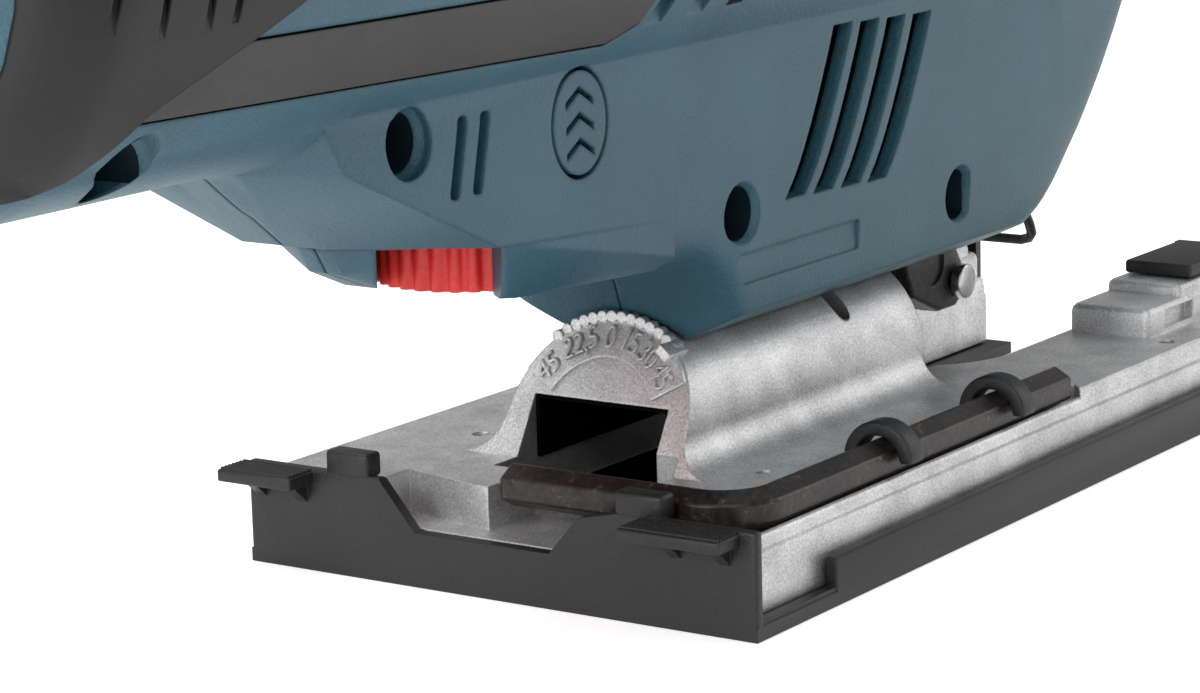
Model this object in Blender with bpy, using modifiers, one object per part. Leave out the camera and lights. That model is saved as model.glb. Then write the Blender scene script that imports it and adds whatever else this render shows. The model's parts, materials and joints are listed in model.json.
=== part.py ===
"""Barrel-grip jigsaw on a tilting fork base, in metres, +X forward, +Z up.

World origin: on the glide shoe's underside, on the centre line. The blade line is upright at X = BLADE_X.
"""
import math

import bmesh
import bpy
import numpy as np
from mathutils import Matrix, Vector

# ---- overall sizes ---------------------------------------------------------------------------
BASE_LENGTH = 0.168
BASE_WIDTH = 0.082
REAR_X = -0.060              # rear wall of the shoe
HOUSING_REAR_X = -0.172
BARREL_RADIUS = 0.032
BARREL_Z = 0.097             # height of the motor axis
GEAR_CASE_HALF = 0.0200      # half width of the housing near the base
HEAD_TOP_Z = 0.150
NOSE_REACH = 0.100           # foremost X of the housing
STROKE = 0.020

# ---- walls and clearances --------------------------------------------------------------------
GAP = 0.0003
HALF_GAP = GAP / 2
WALL = 0.0028
RUNNING = 0.0001

# ---- base and shoe ---------------------------------------------------------------------------
SHOE_FLOOR = 0.0019
SHOE_WALL = 0.0017
SHOE_REAR_HEIGHT = 0.0143
SHOE_SIDE_HEIGHT = 0.0064
SHOE_SIDE_START = 0.0195     # distance of the side walls from the rear wall
BASE_BOTTOM = SHOE_FLOOR + GAP
BASE_TOP = 0.0135
SLOT_HALF = 0.0165           # half width of the fork's opening
SLOT_START = 0.0955          # distance of the opening's inner end from the rear wall
DOME_RADIUS = 0.0148
DOME_Z = 0.0178              # height of the tilt axis
DOME_REAR = 0.0240           # distance of the scale face from the rear wall, at the tilt axis
DOME_FRONT = 0.0890
DOME_LEAN = math.radians(30.5)
PORT_HALF = 0.0110
PORT_FLOOR = 0.0075
PORT_TOP = 0.0215
TILT_CLEAR = 0.0005          # between the dome and the housing's saddle
SADDLE_LOW_Z = 0.0295        # lowest height of the housing over the dome
SADDLE_EDGE_Z = 0.0345       # height of its underside at the outer faces
SADDLE_ROOF_Z = 0.0371       # lowest height of the inside over the dome
ARM_BLOCK_START = 0.1310
ARM_BLOCK_TOP = 0.0180
ARM_BLOCK_HIGH = 0.0198
ARM_BLOCK_OUTER = 0.0310

# ---- stored hex key --------------------------------------------------------------------------
KEY_FLATS = 0.005
KEY_Y = -0.0345
KEY_Z = 0.0140
KEY_ARM_X = 0.0070           # distance of the short arm from the rear wall
KEY_END_X = 0.0935
KEY_SHORT_END_Y = 0.0020
KEY_BEND = 0.0065
KEY_CLEAR = 0.0004
CLIP_WIRE = 0.0030
CLIP_PLACES = (0.0430, 0.0750)

# ---- drive -----------------------------------------------------------------------------------
BLADE_X = 0.0640
MODULE = 0.0008
PINION_TEETH = 9
GEAR_TEETH = 41
GEAR_WIDTH = 0.0065
GEAR_REAR_X = 0.0440
BACKLASH = 0.00012
SHAFT_RADIUS = 0.0025
AXLE_RADIUS = 0.0030
CRANK_PIN_RADIUS = 0.0025
PLUNGER_RADIUS = 0.0040
PLUNGER_LOW_Z = 0.0508
PLUNGER_HIGH_Z = 0.1330
HOLDER_LENGTH = 0.0055
HOLDER_RADIUS = 0.0052
YOKE_HALF = 0.0135
YOKE_RAIL = 0.0035
FRAME_WEB_X = (0.0290, 0.0360)
FRAME_FRONT_X = 0.0710
FRAME_LOW_ARM_Z = (0.0550, 0.0590)
FRAME_HIGH_ARM_Z = (0.1080, 0.1130)
FRAME_HALF = 0.0115
BUSH_WALL = 0.0018
STATOR_X = (-0.0460, -0.0040)
STATOR_OUTER = 0.0250
STATOR_INNER = 0.0164
ARMATURE_RADIUS = 0.0158
COMMUTATOR_RADIUS = 0.0105
COMMUTATOR_X = (-0.0700, -0.0560)
FAN_RADIUS = 0.0215
FAN_X = (0.0040, 0.0120)
BEARING_OUTER = 0.0090
BEARING_WIDTH = 0.0060
REAR_BEARING_X = -0.0840
ROLLER_X = 0.0545
ROLLER_Z = 0.0235
ROLLER_RADIUS = 0.0052
ROLLER_HALF = 0.0022
ROLLER_PIN = 0.0015
BRACKET_HALF = 0.0062
ORBIT_PIVOT_X = 0.0425
ORBIT_PIVOT_Z = 0.0405
ORBIT_PIN_RADIUS = 0.0018
MOUTH_HALF = 0.0095
MOUTH_TOP_Z = 0.0560
MOUTH_FRONT = 0.0075

# ---- controls --------------------------------------------------------------------------------
DIAL_X = -0.0620
DIAL_Y = 0.0
DIAL_RADIUS = 0.0104
DIAL_LOW_Z = 0.0448
DIAL_HIGH_Z = 0.0510
KNOB_X = 0.0300
KNOB_Z = 0.0540
KNOB_RADIUS = 0.0085
KNOB_STEM = 0.0040
SWITCH_X = -0.0620
SWITCH_TRAVEL = 0.0060
BUTTON_HALF = (0.0080, 0.0042)
LEVER_LOW_Z = 0.0885
LEVER_TOP_Z = 0.1115
LEVER_HALF = 0.0070
LEVER_THICK = 0.0034
GLAND_RADIUS = 0.0075
CABLE_RADIUS = 0.0038
CLAMP_X = 0.0160
CLAMP_HEAD = 0.0050
CLAMP_SHANK = 0.0030
SCREW_HEAD = 0.0033
SCREW_SHANK = 0.0017
SCREW_END_Y = 0.0090
RECESS_RADIUS = 0.0036
RECESS_FLOOR_Y = -0.0085
BOSS_RADIUS = 0.0050
GUARD_WIRE = 0.0008

GEAR_Z = BARREL_Z - MODULE * (GEAR_TEETH + PINION_TEETH) / 2
FRONT_X = REAR_X + BASE_LENGTH
CRANK = STROKE / 2

# One row per station along the housing: X, bottom, top, half width on the motor axis, half width of the part
# below the barrel, exponent of that lower part, exponent of the top. Exponent 2 is round, a larger one is boxier.
SHOULDER = 0.78              # the lower part meets the barrel's curve this share of the way down
LOW_ROUND = 1.6              # exponent that continues the barrel's own curve
ARC_POINTS = 4
STATIONS = (
    (HOUSING_REAR_X, 0.0740, 0.1200, 0.0230, 0.0144, LOW_ROUND, 2.0),
    (HOUSING_REAR_X + 0.0035, 0.0685, 0.1255, 0.0285, 0.0178, LOW_ROUND, 2.0),
    (HOUSING_REAR_X + 0.0110, BARREL_Z - BARREL_RADIUS, BARREL_Z + BARREL_RADIUS, BARREL_RADIUS, 0.0200, LOW_ROUND, 2.0),
    (-0.1340, BARREL_Z - BARREL_RADIUS, BARREL_Z + BARREL_RADIUS, BARREL_RADIUS, 0.0200, LOW_ROUND, 2.0),
    (-0.1150, 0.0648, 0.1290, 0.0318, 0.0200, LOW_ROUND, 2.0),
    (-0.1110, 0.0622, 0.1290, 0.0317, 0.0200, LOW_ROUND, 2.0),
    (-0.1070, 0.0592, 0.1290, 0.0316, 0.0200, 1.65, 2.0),
    (-0.1015, 0.0560, 0.1290, 0.0315, 0.0200, 1.7, 2.0),
    (-0.0990, 0.0542, 0.1290, 0.0314, 0.0200, 1.7, 2.0),
    (-0.0965, 0.0503, 0.1290, 0.0313, 0.0200, 1.7, 2.0),
    (-0.0750, 0.0446, 0.1290, 0.0309, 0.0200, 1.5, 2.0),
    (-0.0650, 0.0434, 0.1290, 0.0307, 0.0200, 1.5, 2.0),
    (-0.0560, 0.0428, 0.1290, 0.0305, GEAR_CASE_HALF, 1.7, 2.0),
    (-0.0520, 0.0425, 0.1290, 0.0304, GEAR_CASE_HALF, 3.5, 2.0),
    (-0.0470, 0.0424, 0.1290, 0.0302, GEAR_CASE_HALF, 7.0, 2.0),
    (-0.0380, 0.0422, 0.1295, 0.0298, GEAR_CASE_HALF, 8.0, 2.1),
    (-0.0300, 0.0375, 0.1305, 0.0294, GEAR_CASE_HALF, 8.0, 2.2),
    (-0.0270, SADDLE_LOW_Z, 0.1310, 0.0292, GEAR_CASE_HALF, 9.0, 2.2),
    (0.0000, SADDLE_LOW_Z, 0.1380, 0.0285, GEAR_CASE_HALF, 9.0, 2.5),
    (0.0200, SADDLE_LOW_Z, 0.1450, 0.0280, GEAR_CASE_HALF, 9.0, 2.8),
    (0.0400, SADDLE_LOW_Z, HEAD_TOP_Z, 0.0275, GEAR_CASE_HALF, 8.0, 3.0),
    (0.0520, 0.0300, HEAD_TOP_Z, 0.0270, GEAR_CASE_HALF, 7.0, 3.0),
    (0.0600, 0.0320, HEAD_TOP_Z, 0.0266, 0.0199, 6.5, 3.0),
    (0.0700, 0.0395, 0.1490, 0.0258, 0.0197, 6.0, 2.8),
    (0.0780, 0.0475, 0.1470, 0.0248, 0.0194, 5.5, 2.6),
    (0.0860, 0.0580, 0.1425, 0.0232, 0.0188, 5.0, 2.5),
    (0.0930, 0.0700, 0.1350, 0.0205, 0.0175, 4.0, 2.3),
    (0.0980, 0.0800, 0.1240, 0.0165, 0.0145, 3.0, 2.2),
    (NOSE_REACH, 0.0860, 0.1140, 0.0110, 0.0100, 2.4, 2.2),
)
CUT_FAR = 0.060
PAD_DEPTH = 0.0010
PAD_OUTLINE = ((-0.1545, 0.0772), (-0.0640, 0.0748), (-0.0585, 0.0770), (-0.0560, 0.0835), (-0.1400, 0.0848))
SLEEVE_EDGE = ((-0.1680, 0.0600), (-0.1625, 0.0710), (-0.1400, 0.0845), (-0.1230, 0.0990), (-0.1150, 0.1160),
               (-0.1130, 0.1400))
SLEEVE_THICK = 0.0016
SCREW_PLACES = ((-0.1000, 0.0675), (-0.0285, 0.0480), (0.0310, 0.0415), (-0.1490, 0.0715), (-0.0900, 0.1170),
                (0.0250, 0.1300))
VENT_SLOTS = 4

COLOURS = {
    "housing": ((0.030, 0.115, 0.145), 0.55, 0.0),
    "grip": ((0.045, 0.044, 0.045), 0.75, 0.0),
    "rubber": ((0.028, 0.028, 0.028), 0.85, 0.0),
    "cast": ((0.62, 0.63, 0.64), 0.45, 0.9),
    "shoe": ((0.050, 0.050, 0.052), 0.55, 0.0),
    "key": ((0.035, 0.033, 0.032), 0.45, 0.6),
    "steel": ((0.55, 0.55, 0.56), 0.30, 1.0),
    "dark_steel": ((0.060, 0.060, 0.062), 0.45, 0.7),
    "copper": ((0.72, 0.38, 0.20), 0.35, 1.0),
    "carbon": ((0.020, 0.020, 0.020), 0.60, 0.0),
    "dial": ((0.72, 0.040, 0.035), 0.45, 0.0),
    "black_plastic": ((0.022, 0.022, 0.024), 0.50, 0.0),
    "brass": ((0.70, 0.52, 0.22), 0.35, 1.0),
}


# ---- scene helpers ---------------------------------------------------------------------------
def clear_scene():
    for obj in list(bpy.data.objects):
        bpy.data.objects.remove(obj, do_unlink=True)


def collection(name, parent=None):
    made = bpy.data.collections.new(name)
    (parent or bpy.context.scene.collection).children.link(made)
    return made


def material(key):
    found = bpy.data.materials.get(key)
    if found:
        return found
    colour, roughness, metallic = COLOURS[key]
    made = bpy.data.materials.new(key)
    made.use_nodes = True
    shader = made.node_tree.nodes["Principled BSDF"]
    shader.inputs["Base Color"].default_value = (*colour, 1.0)
    shader.inputs["Roughness"].default_value = roughness
    shader.inputs["Metallic"].default_value = metallic
    return made


def add_mesh(name, bm, look=None):
    """Make an object of a bmesh. Without a look it is a cutter."""
    bmesh.ops.recalc_face_normals(bm, faces=bm.faces)
    mesh = bpy.data.meshes.new(name)
    bm.to_mesh(mesh)
    bm.free()
    obj = bpy.data.objects.new(name, mesh)
    if look:
        PARTS.objects.link(obj)
        mesh.materials.append(material(look))
    else:
        CUTTERS.objects.link(obj)
        obj.hide_render = True
        obj.display_type = "WIRE"
    return obj


def set_origin(obj, place):
    """Move an object's origin to a joint's axis and leave its shape where it is."""
    obj.data.transform(Matrix.Translation(-Vector(place)))
    obj.location = place
    return obj


def box(name, low, high, look=None, bevel=0.0):
    bm = bmesh.new()
    bmesh.ops.create_cube(bm, size=1.0)
    size = [high[i] - low[i] for i in range(3)]
    middle = [(high[i] + low[i]) / 2 for i in range(3)]
    bmesh.ops.scale(bm, vec=size, verts=bm.verts)
    bmesh.ops.translate(bm, vec=middle, verts=bm.verts)
    obj = add_mesh(name, bm, look)
    if bevel:
        add_bevel(obj, bevel)
    return obj


def add_bevel(obj, width, segments=2, angle=math.radians(40)):
    bevel = obj.modifiers.new("bevel", "BEVEL")
    bevel.width = width
    bevel.segments = segments
    bevel.limit_method = "ANGLE"
    bevel.angle_limit = angle


AXIS_TURNS = {"X": Matrix.Rotation(math.pi / 2, 4, "Y"), "Y": Matrix.Rotation(-math.pi / 2, 4, "X"),
              "Z": Matrix.Identity(4)}


def cylinder(name, radius, start, end, place, axis="X", look=None, segments=32, end_radius=None):
    """A cylinder or cone from start to end along an axis; place is the other two coordinates in X, Y, Z order."""
    bm = bmesh.new()
    tip = radius if end_radius is None else end_radius
    bmesh.ops.create_cone(bm, cap_ends=True, segments=segments, radius1=radius, radius2=tip, depth=end - start)
    bmesh.ops.transform(bm, matrix=AXIS_TURNS[axis], verts=bm.verts)
    middle = (start + end) / 2
    centre = {"X": (middle, *place), "Y": (place[0], middle, place[1]), "Z": (*place, middle)}[axis]
    bmesh.ops.translate(bm, vec=centre, verts=bm.verts)
    return add_mesh(name, bm, look)


def ring(name, outer, inner, start, end, place, axis="X", look=None, segments=32):
    body = cylinder(name, outer, start, end, place, axis, look, segments)
    far = end - start
    hole = cylinder(name + "_hole", inner, start - far, end + far, place, axis, None, segments)
    boolean(body, hole)
    return body


def prism(name, outline, low, high, axis="Y", look=None):
    """A flat outline as a filled 2D curve, extruded along Y (outline in X, Z) or Z (X, Y) or X (Y, Z)."""
    curve = bpy.data.curves.new(name, "CURVE")
    curve.dimensions = "2D"
    curve.fill_mode = "BOTH"
    curve.extrude = (high - low) / 2
    spline = curve.splines.new("POLY")
    spline.points.add(len(outline) - 1)
    for point, (a, b) in zip(spline.points, outline):
        point.co = (a, b, 0, 1)
    spline.use_cyclic_u = True
    middle = (high + low) / 2
    turns = {"Z": Matrix.Translation((0, 0, middle)),
             "Y": Matrix.Translation((0, middle, 0)) @ Matrix.Rotation(math.pi / 2, 4, "X"),
             "X": Matrix.Translation((middle, 0, 0)) @ Matrix(((0, 0, 1, 0), (1, 0, 0, 0), (0, 1, 0, 0),
                                                               (0, 0, 0, 1)))}
    return curve_to_mesh(name, curve, turns[axis], look)


def curve_to_mesh(name, curve, matrix, look):
    carrier = bpy.data.objects.new(name + "_curve", curve)
    bpy.context.scene.collection.objects.link(carrier)
    carrier.matrix_world = matrix
    bpy.context.view_layer.update()
    graph = bpy.context.evaluated_depsgraph_get()
    mesh = bpy.data.meshes.new_from_object(carrier.evaluated_get(graph))
    bm = bmesh.new()
    bm.from_mesh(mesh)
    bmesh.ops.remove_doubles(bm, verts=bm.verts, dist=0.00001)
    bmesh.ops.transform(bm, matrix=carrier.matrix_world, verts=bm.verts)
    bpy.data.objects.remove(carrier, do_unlink=True)
    bpy.data.meshes.remove(mesh)
    return add_mesh(name, bm, look)


def tube(name, points, radius, look, resolution=2, cyclic=False):
    curve = bpy.data.curves.new(name, "CURVE")
    curve.dimensions = "3D"
    curve.bevel_depth = radius
    curve.bevel_resolution = resolution
    curve.use_fill_caps = True
    spline = curve.splines.new("POLY")
    spline.points.add(len(points) - 1)
    for point, place in zip(spline.points, points):
        point.co = (*place, 1)
    spline.use_cyclic_u = cyclic
    return curve_to_mesh(name, curve, Matrix.Identity(4), look)


def boolean(target, cutter, operation="DIFFERENCE"):
    step = target.modifiers.new(operation.lower(), "BOOLEAN")
    step.operation = operation
    step.solver = "EXACT"
    step.object = cutter


def arc(centre, radius, start, end, steps):
    """Points on an arc, in degrees, both ends included."""
    points = []
    for step in range(steps + 1):
        angle = math.radians(start + (end - start) * step / steps)
        points.append((centre[0] + radius * math.cos(angle), centre[1] + radius * math.sin(angle)))
    return points


def inset_outline(outline, distance):
    """Move every edge of a convex outline inward by a distance."""
    centre = Vector((sum(x for x, _ in outline), sum(z for _, z in outline))) / len(outline)
    lines = []
    for i, point in enumerate(outline):
        start = Vector(point)
        along = (Vector(outline[(i + 1) % len(outline)]) - start).normalized()
        normal = Vector((-along.y, along.x))
        if normal.dot(centre - start) < 0:
            normal.negate()
        lines.append((start + normal * distance, along))
    moved = []
    for i, (start, along) in enumerate(lines):
        before, before_along = lines[i - 1]
        cross = before_along.x * along.y - before_along.y * along.x
        gap = start - before
        reach = (gap.x * along.y - gap.y * along.x) / cross
        moved.append(tuple(before + before_along * reach))
    return moved


# ---- the housing's outer form ----------------------------------------------------------------
def monotone(xs, ys, x):
    """Monotone cubic through the stations, so that a step in the outline never overshoots."""
    steps = np.diff(xs)
    slopes = np.diff(ys) / steps
    tangents = np.zeros(len(xs))
    for i in range(1, len(xs) - 1):
        if slopes[i - 1] * slopes[i] > 0:
            weight = 2 * steps[i] + steps[i - 1], steps[i] + 2 * steps[i - 1]
            tangents[i] = sum(weight) / (weight[0] / slopes[i - 1] + weight[1] / slopes[i])
    i = int(np.clip(np.searchsorted(xs, x) - 1, 0, len(xs) - 2))
    t = (x - xs[i]) / steps[i]
    return ((1 + 2 * t) * (1 - t) ** 2 * ys[i] + t * (1 - t) ** 2 * steps[i] * tangents[i]
            + t * t * (3 - 2 * t) * ys[i + 1] + t * t * (t - 1) * steps[i] * tangents[i + 1])


def section(x, inset=0.0, arc_points=ARC_POINTS):
    """The housing's outline across X as a closed loop of (y, z), moved inward by inset."""
    table = np.array(STATIONS)
    low, top, wide, low_wide, low_power, top_power = (monotone(table[:, 0], table[:, i], x) for i in range(1, 7))
    height = min(BARREL_Z - low, BARREL_RADIUS)
    shoulder = BARREL_Z - SHOULDER * height
    turn = math.asin(SHOULDER)
    narrow = math.cos(turn)
    side = []
    for step in range(arc_points):
        angle = math.pi / 2 * step / arc_points
        side.append((low_wide * math.sin(angle) ** (2 / low_power),
                     shoulder - (shoulder - low) * math.cos(angle) ** (2 / low_power)))
    for step in range(arc_points):
        angle = turn * (1 - step / arc_points)
        share = (math.cos(angle) - narrow) / (1 - narrow)
        side.append((low_wide + (wide - low_wide) * share, BARREL_Z - height * math.sin(angle)))
    for step in range(arc_points + 1):
        angle = math.pi / 2 * step / arc_points
        side.append((wide * math.cos(angle) ** (2 / top_power),
                     BARREL_Z + (top - BARREL_Z) * math.sin(angle) ** (2 / top_power)))
    centre = (low + top) / 2
    shrink_y = (wide - inset) / wide
    shrink_z = ((top - low) / 2 - inset) / ((top - low) / 2)
    side = [(y * shrink_y, centre + (z - centre) * shrink_z) for y, z in side]
    return side + [(-y, z) for y, z in reversed(side[1:-1])]


def loft(name, xs, inset=0.0, look=None, arc_points=ARC_POINTS):
    """A closed body through the housing's sections at the given X places."""
    bm = bmesh.new()
    rings = [[bm.verts.new((x, y, z)) for y, z in section(x, inset, arc_points)] for x in xs]
    count = len(rings[0])
    for first, second in zip(rings, rings[1:]):
        for i in range(count):
            j = (i + 1) % count
            bm.faces.new((first[i], first[j], second[j], second[i]))
    bm.faces.new(rings[0])
    bm.faces.new(list(reversed(rings[-1])))
    bmesh.ops.triangulate(bm, faces=bm.faces)
    return add_mesh(name, bm, look)


def stations_between(start, end):
    middle = [row[0] for row in STATIONS if start < row[0] < end]
    return [start, *middle, end]


def side_cut(side):
    """A block that covers the other half of the tool, for splitting at the parting plane."""
    near = HALF_GAP * side
    ends = sorted((near, -side * CUT_FAR))
    return box(f"split_{'left' if side > 0 else 'right'}", (HOUSING_REAR_X - 0.02, ends[0], -0.01),
               (NOSE_REACH + 0.02, ends[1], HEAD_TOP_Z + 0.02))


def saddle_cut():
    """The round channel in the housing's underside that the dome turns in, with flared sides."""
    radius = DOME_RADIUS + TILT_CLEAR
    far = 2 * GEAR_CASE_HALF
    edge = GEAR_CASE_HALF, SADDLE_EDGE_Z
    side = far, SADDLE_EDGE_Z + (far - GEAR_CASE_HALF)
    outline = [(-far, 0.0), (far, 0.0), side, edge, *arc((0, DOME_Z), radius, 51, 129, 14)]
    outline += [(-edge[0], edge[1]), (-side[0], side[1])]
    return prism("saddle_cut", outline, REAR_X, NOSE_REACH + 0.01, "X")


def half_width(x, z):
    """The housing's outer half width at a place, read from its section."""
    side = section(x)[:3 * ARC_POINTS + 1]
    return float(np.interp(z, [point[1] for point in side], [point[0] for point in side]))


def vent_outline(index):
    """One curved louvre of the gear-case vent, in X and Z."""
    low_x = -0.0170 + 0.0073 * index
    low_z = 0.0488 - 0.0003 * index
    rise = 0.0210
    lean = 0.0130
    width = 0.0038
    rear = [(low_x + lean * t ** 0.75, low_z + rise * t) for t in np.linspace(0, 1, 6)]
    return rear + [(x + width, z) for x, z in reversed(rear)]


def cross_wall(cavity, name, start, end, bore):
    """Leave a rib across the housing that holds a round piece on the motor axis."""
    wall = box(name, (start, -CUT_FAR, 0.020), (end, CUT_FAR, HEAD_TOP_Z + 0.010))
    boolean(wall, cylinder(name + "_bore", bore, start - 0.002, end + 0.002, (0, BARREL_Z), "X", None, 32))
    boolean(cavity, wall)


def build_housing():
    outer_places = stations_between(HOUSING_REAR_X, NOSE_REACH)
    cavity = loft("housing_cavity", stations_between(HOUSING_REAR_X + WALL, NOSE_REACH - 0.0035), WALL)
    boolean(cavity, box("saddle_roof", (-0.0350, -0.040, 0.020), (ORBIT_PIVOT_X - 0.0120, 0.040, SADDLE_ROOF_Z)))
    saddle = saddle_cut()
    cross_wall(cavity, "bearing_wall", REAR_BEARING_X, REAR_BEARING_X + BEARING_WIDTH, BEARING_OUTER + GAP)
    cross_wall(cavity, "stator_wall", STATOR_X[0] + 0.012, STATOR_X[0] + 0.020, STATOR_OUTER + GAP)
    for number, place in enumerate(SCREW_PLACES):
        boolean(cavity, cylinder(f"screw_boss_{number}", BOSS_RADIUS, -CUT_FAR, CUT_FAR, place, "Y", None, 16))
    halves = []
    for side, name in ((-1, "housing_right"), (1, "housing_left")):
        shell = loft(name, outer_places, 0.0, "housing")
        boolean(shell, cavity)
        boolean(shell, side_cut(side))
        boolean(shell, saddle)
        halves.append(shell)
    right, left = halves
    for number, (x, z) in enumerate(SCREW_PLACES):
        recess = cylinder(f"screw_recess_{number}", RECESS_RADIUS, -0.045, RECESS_FLOOR_Y, (x, z), "Y", None, 20)
        bore = cylinder(f"screw_bore_{number}", SCREW_SHANK + RUNNING, RECESS_FLOOR_Y - 0.001, SCREW_END_Y + 0.002,
                        (x, z), "Y", None, 12)
        boolean(right, recess)
        boolean(right, bore)
        boolean(left, bore)
    return right, left


def finish_housing(right, left):
    """Openings in the halves: vents, the nose mouth, the dial and switch slots, the knob hole."""
    for index in range(VENT_SLOTS):
        boolean(right, prism(f"vent_right_{index}", vent_outline(index), -0.030, -0.012))
        boolean(left, prism(f"vent_left_{index}", vent_outline(index), 0.012, 0.030))
    mouth = box("nose_mouth", (ORBIT_PIVOT_X - 0.011, -MOUTH_HALF, 0.020), (BLADE_X + MOUTH_FRONT, MOUTH_HALF, MOUTH_TOP_Z))
    dial_slot = box("dial_slot", (DIAL_X - DIAL_RADIUS - 0.001, -GEAR_CASE_HALF, DIAL_LOW_Z - 0.0006),
                    (DIAL_X + DIAL_RADIUS + 0.001, GEAR_CASE_HALF, DIAL_HIGH_Z + 0.0006))
    switch_slot = box("switch_slot", (SWITCH_X - BUTTON_HALF[0] - 0.0005, -BUTTON_HALF[1] - 0.0005, 0.118),
                      (SWITCH_X + BUTTON_HALF[0] + SWITCH_TRAVEL + 0.0005, BUTTON_HALF[1] + 0.0005, 0.150))
    gland_hole = cylinder("gland_hole", GLAND_RADIUS + GAP, HOUSING_REAR_X - 0.010, HOUSING_REAR_X + 0.020,
                          (0, BARREL_Z), "X", None, 24)
    knob_hole = cylinder("knob_hole", KNOB_STEM + GAP, 0.010, 0.040, (KNOB_X, KNOB_Z), "Y", None, 20)
    for shell in (right, left):
        for cutter in (mouth, dial_slot, switch_slot, gland_hole):
            boolean(shell, cutter)
    boolean(left, knob_hole)
    for shell, side in ((right, -1), (left, 1)):
        ends = sorted((side * 0.012, side * 0.045))
        pocket = prism(f"pad_pocket_{shell.name}", PAD_OUTLINE, *ends)
        floor = loft(f"pad_floor_{shell.name}", stations_between(-0.1600, -0.0500), PAD_DEPTH)
        boolean(pocket, floor)
        boolean(shell, pocket)


def grip_pad(side, name):
    ends = sorted((side * 0.012, side * 0.045))
    pad = prism(name, inset_outline(PAD_OUTLINE, GAP), *ends, look="grip")
    places = stations_between(-0.1600, -0.0500)
    boolean(pad, loft(name + "_skin", places, -0.0002), "INTERSECT")
    boolean(pad, loft(name + "_back", places, PAD_DEPTH - GAP))
    return pad


def rear_sleeve():
    """A soft hood round the rear of the barrel, cut off along a slanting front edge."""
    sleeve = loft("rear_sleeve", stations_between(HOUSING_REAR_X + 0.0020, -0.1000), -SLEEVE_THICK, "rubber")
    boolean(sleeve, loft("sleeve_inside", stations_between(HOUSING_REAR_X, -0.0990), -GAP))
    ahead = list(SLEEVE_EDGE) + [(-0.050, 0.150), (-0.050, 0.040), (-0.160, 0.040)]
    boolean(sleeve, prism("sleeve_front_cut", ahead, -CUT_FAR, CUT_FAR))
    return sleeve


# ---- base, shoe and stored key ---------------------------------------------------------------
def fork_outline(inset, slot_half, slot_start, front_cut=0.006):
    """The fork's plan: a plate with a round-ended opening from the front."""
    rear = REAR_X + inset
    front = FRONT_X - inset
    half = BASE_WIDTH / 2 - inset
    end = REAR_X + slot_start + slot_half
    inner = arc((end, 0), slot_half, 90, 270, 12)
    outline = [(front, slot_half), *inner, (front, -slot_half), (front, front_cut - half)]
    outline += [(front - front_cut, -half), (rear, -half), (rear, half), (front - front_cut, half)]
    return outline + [(front, half - front_cut)]


def dome_rear_x(z):
    return REAR_X + DOME_REAR + math.tan(DOME_LEAN) * (z - DOME_Z)


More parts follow.
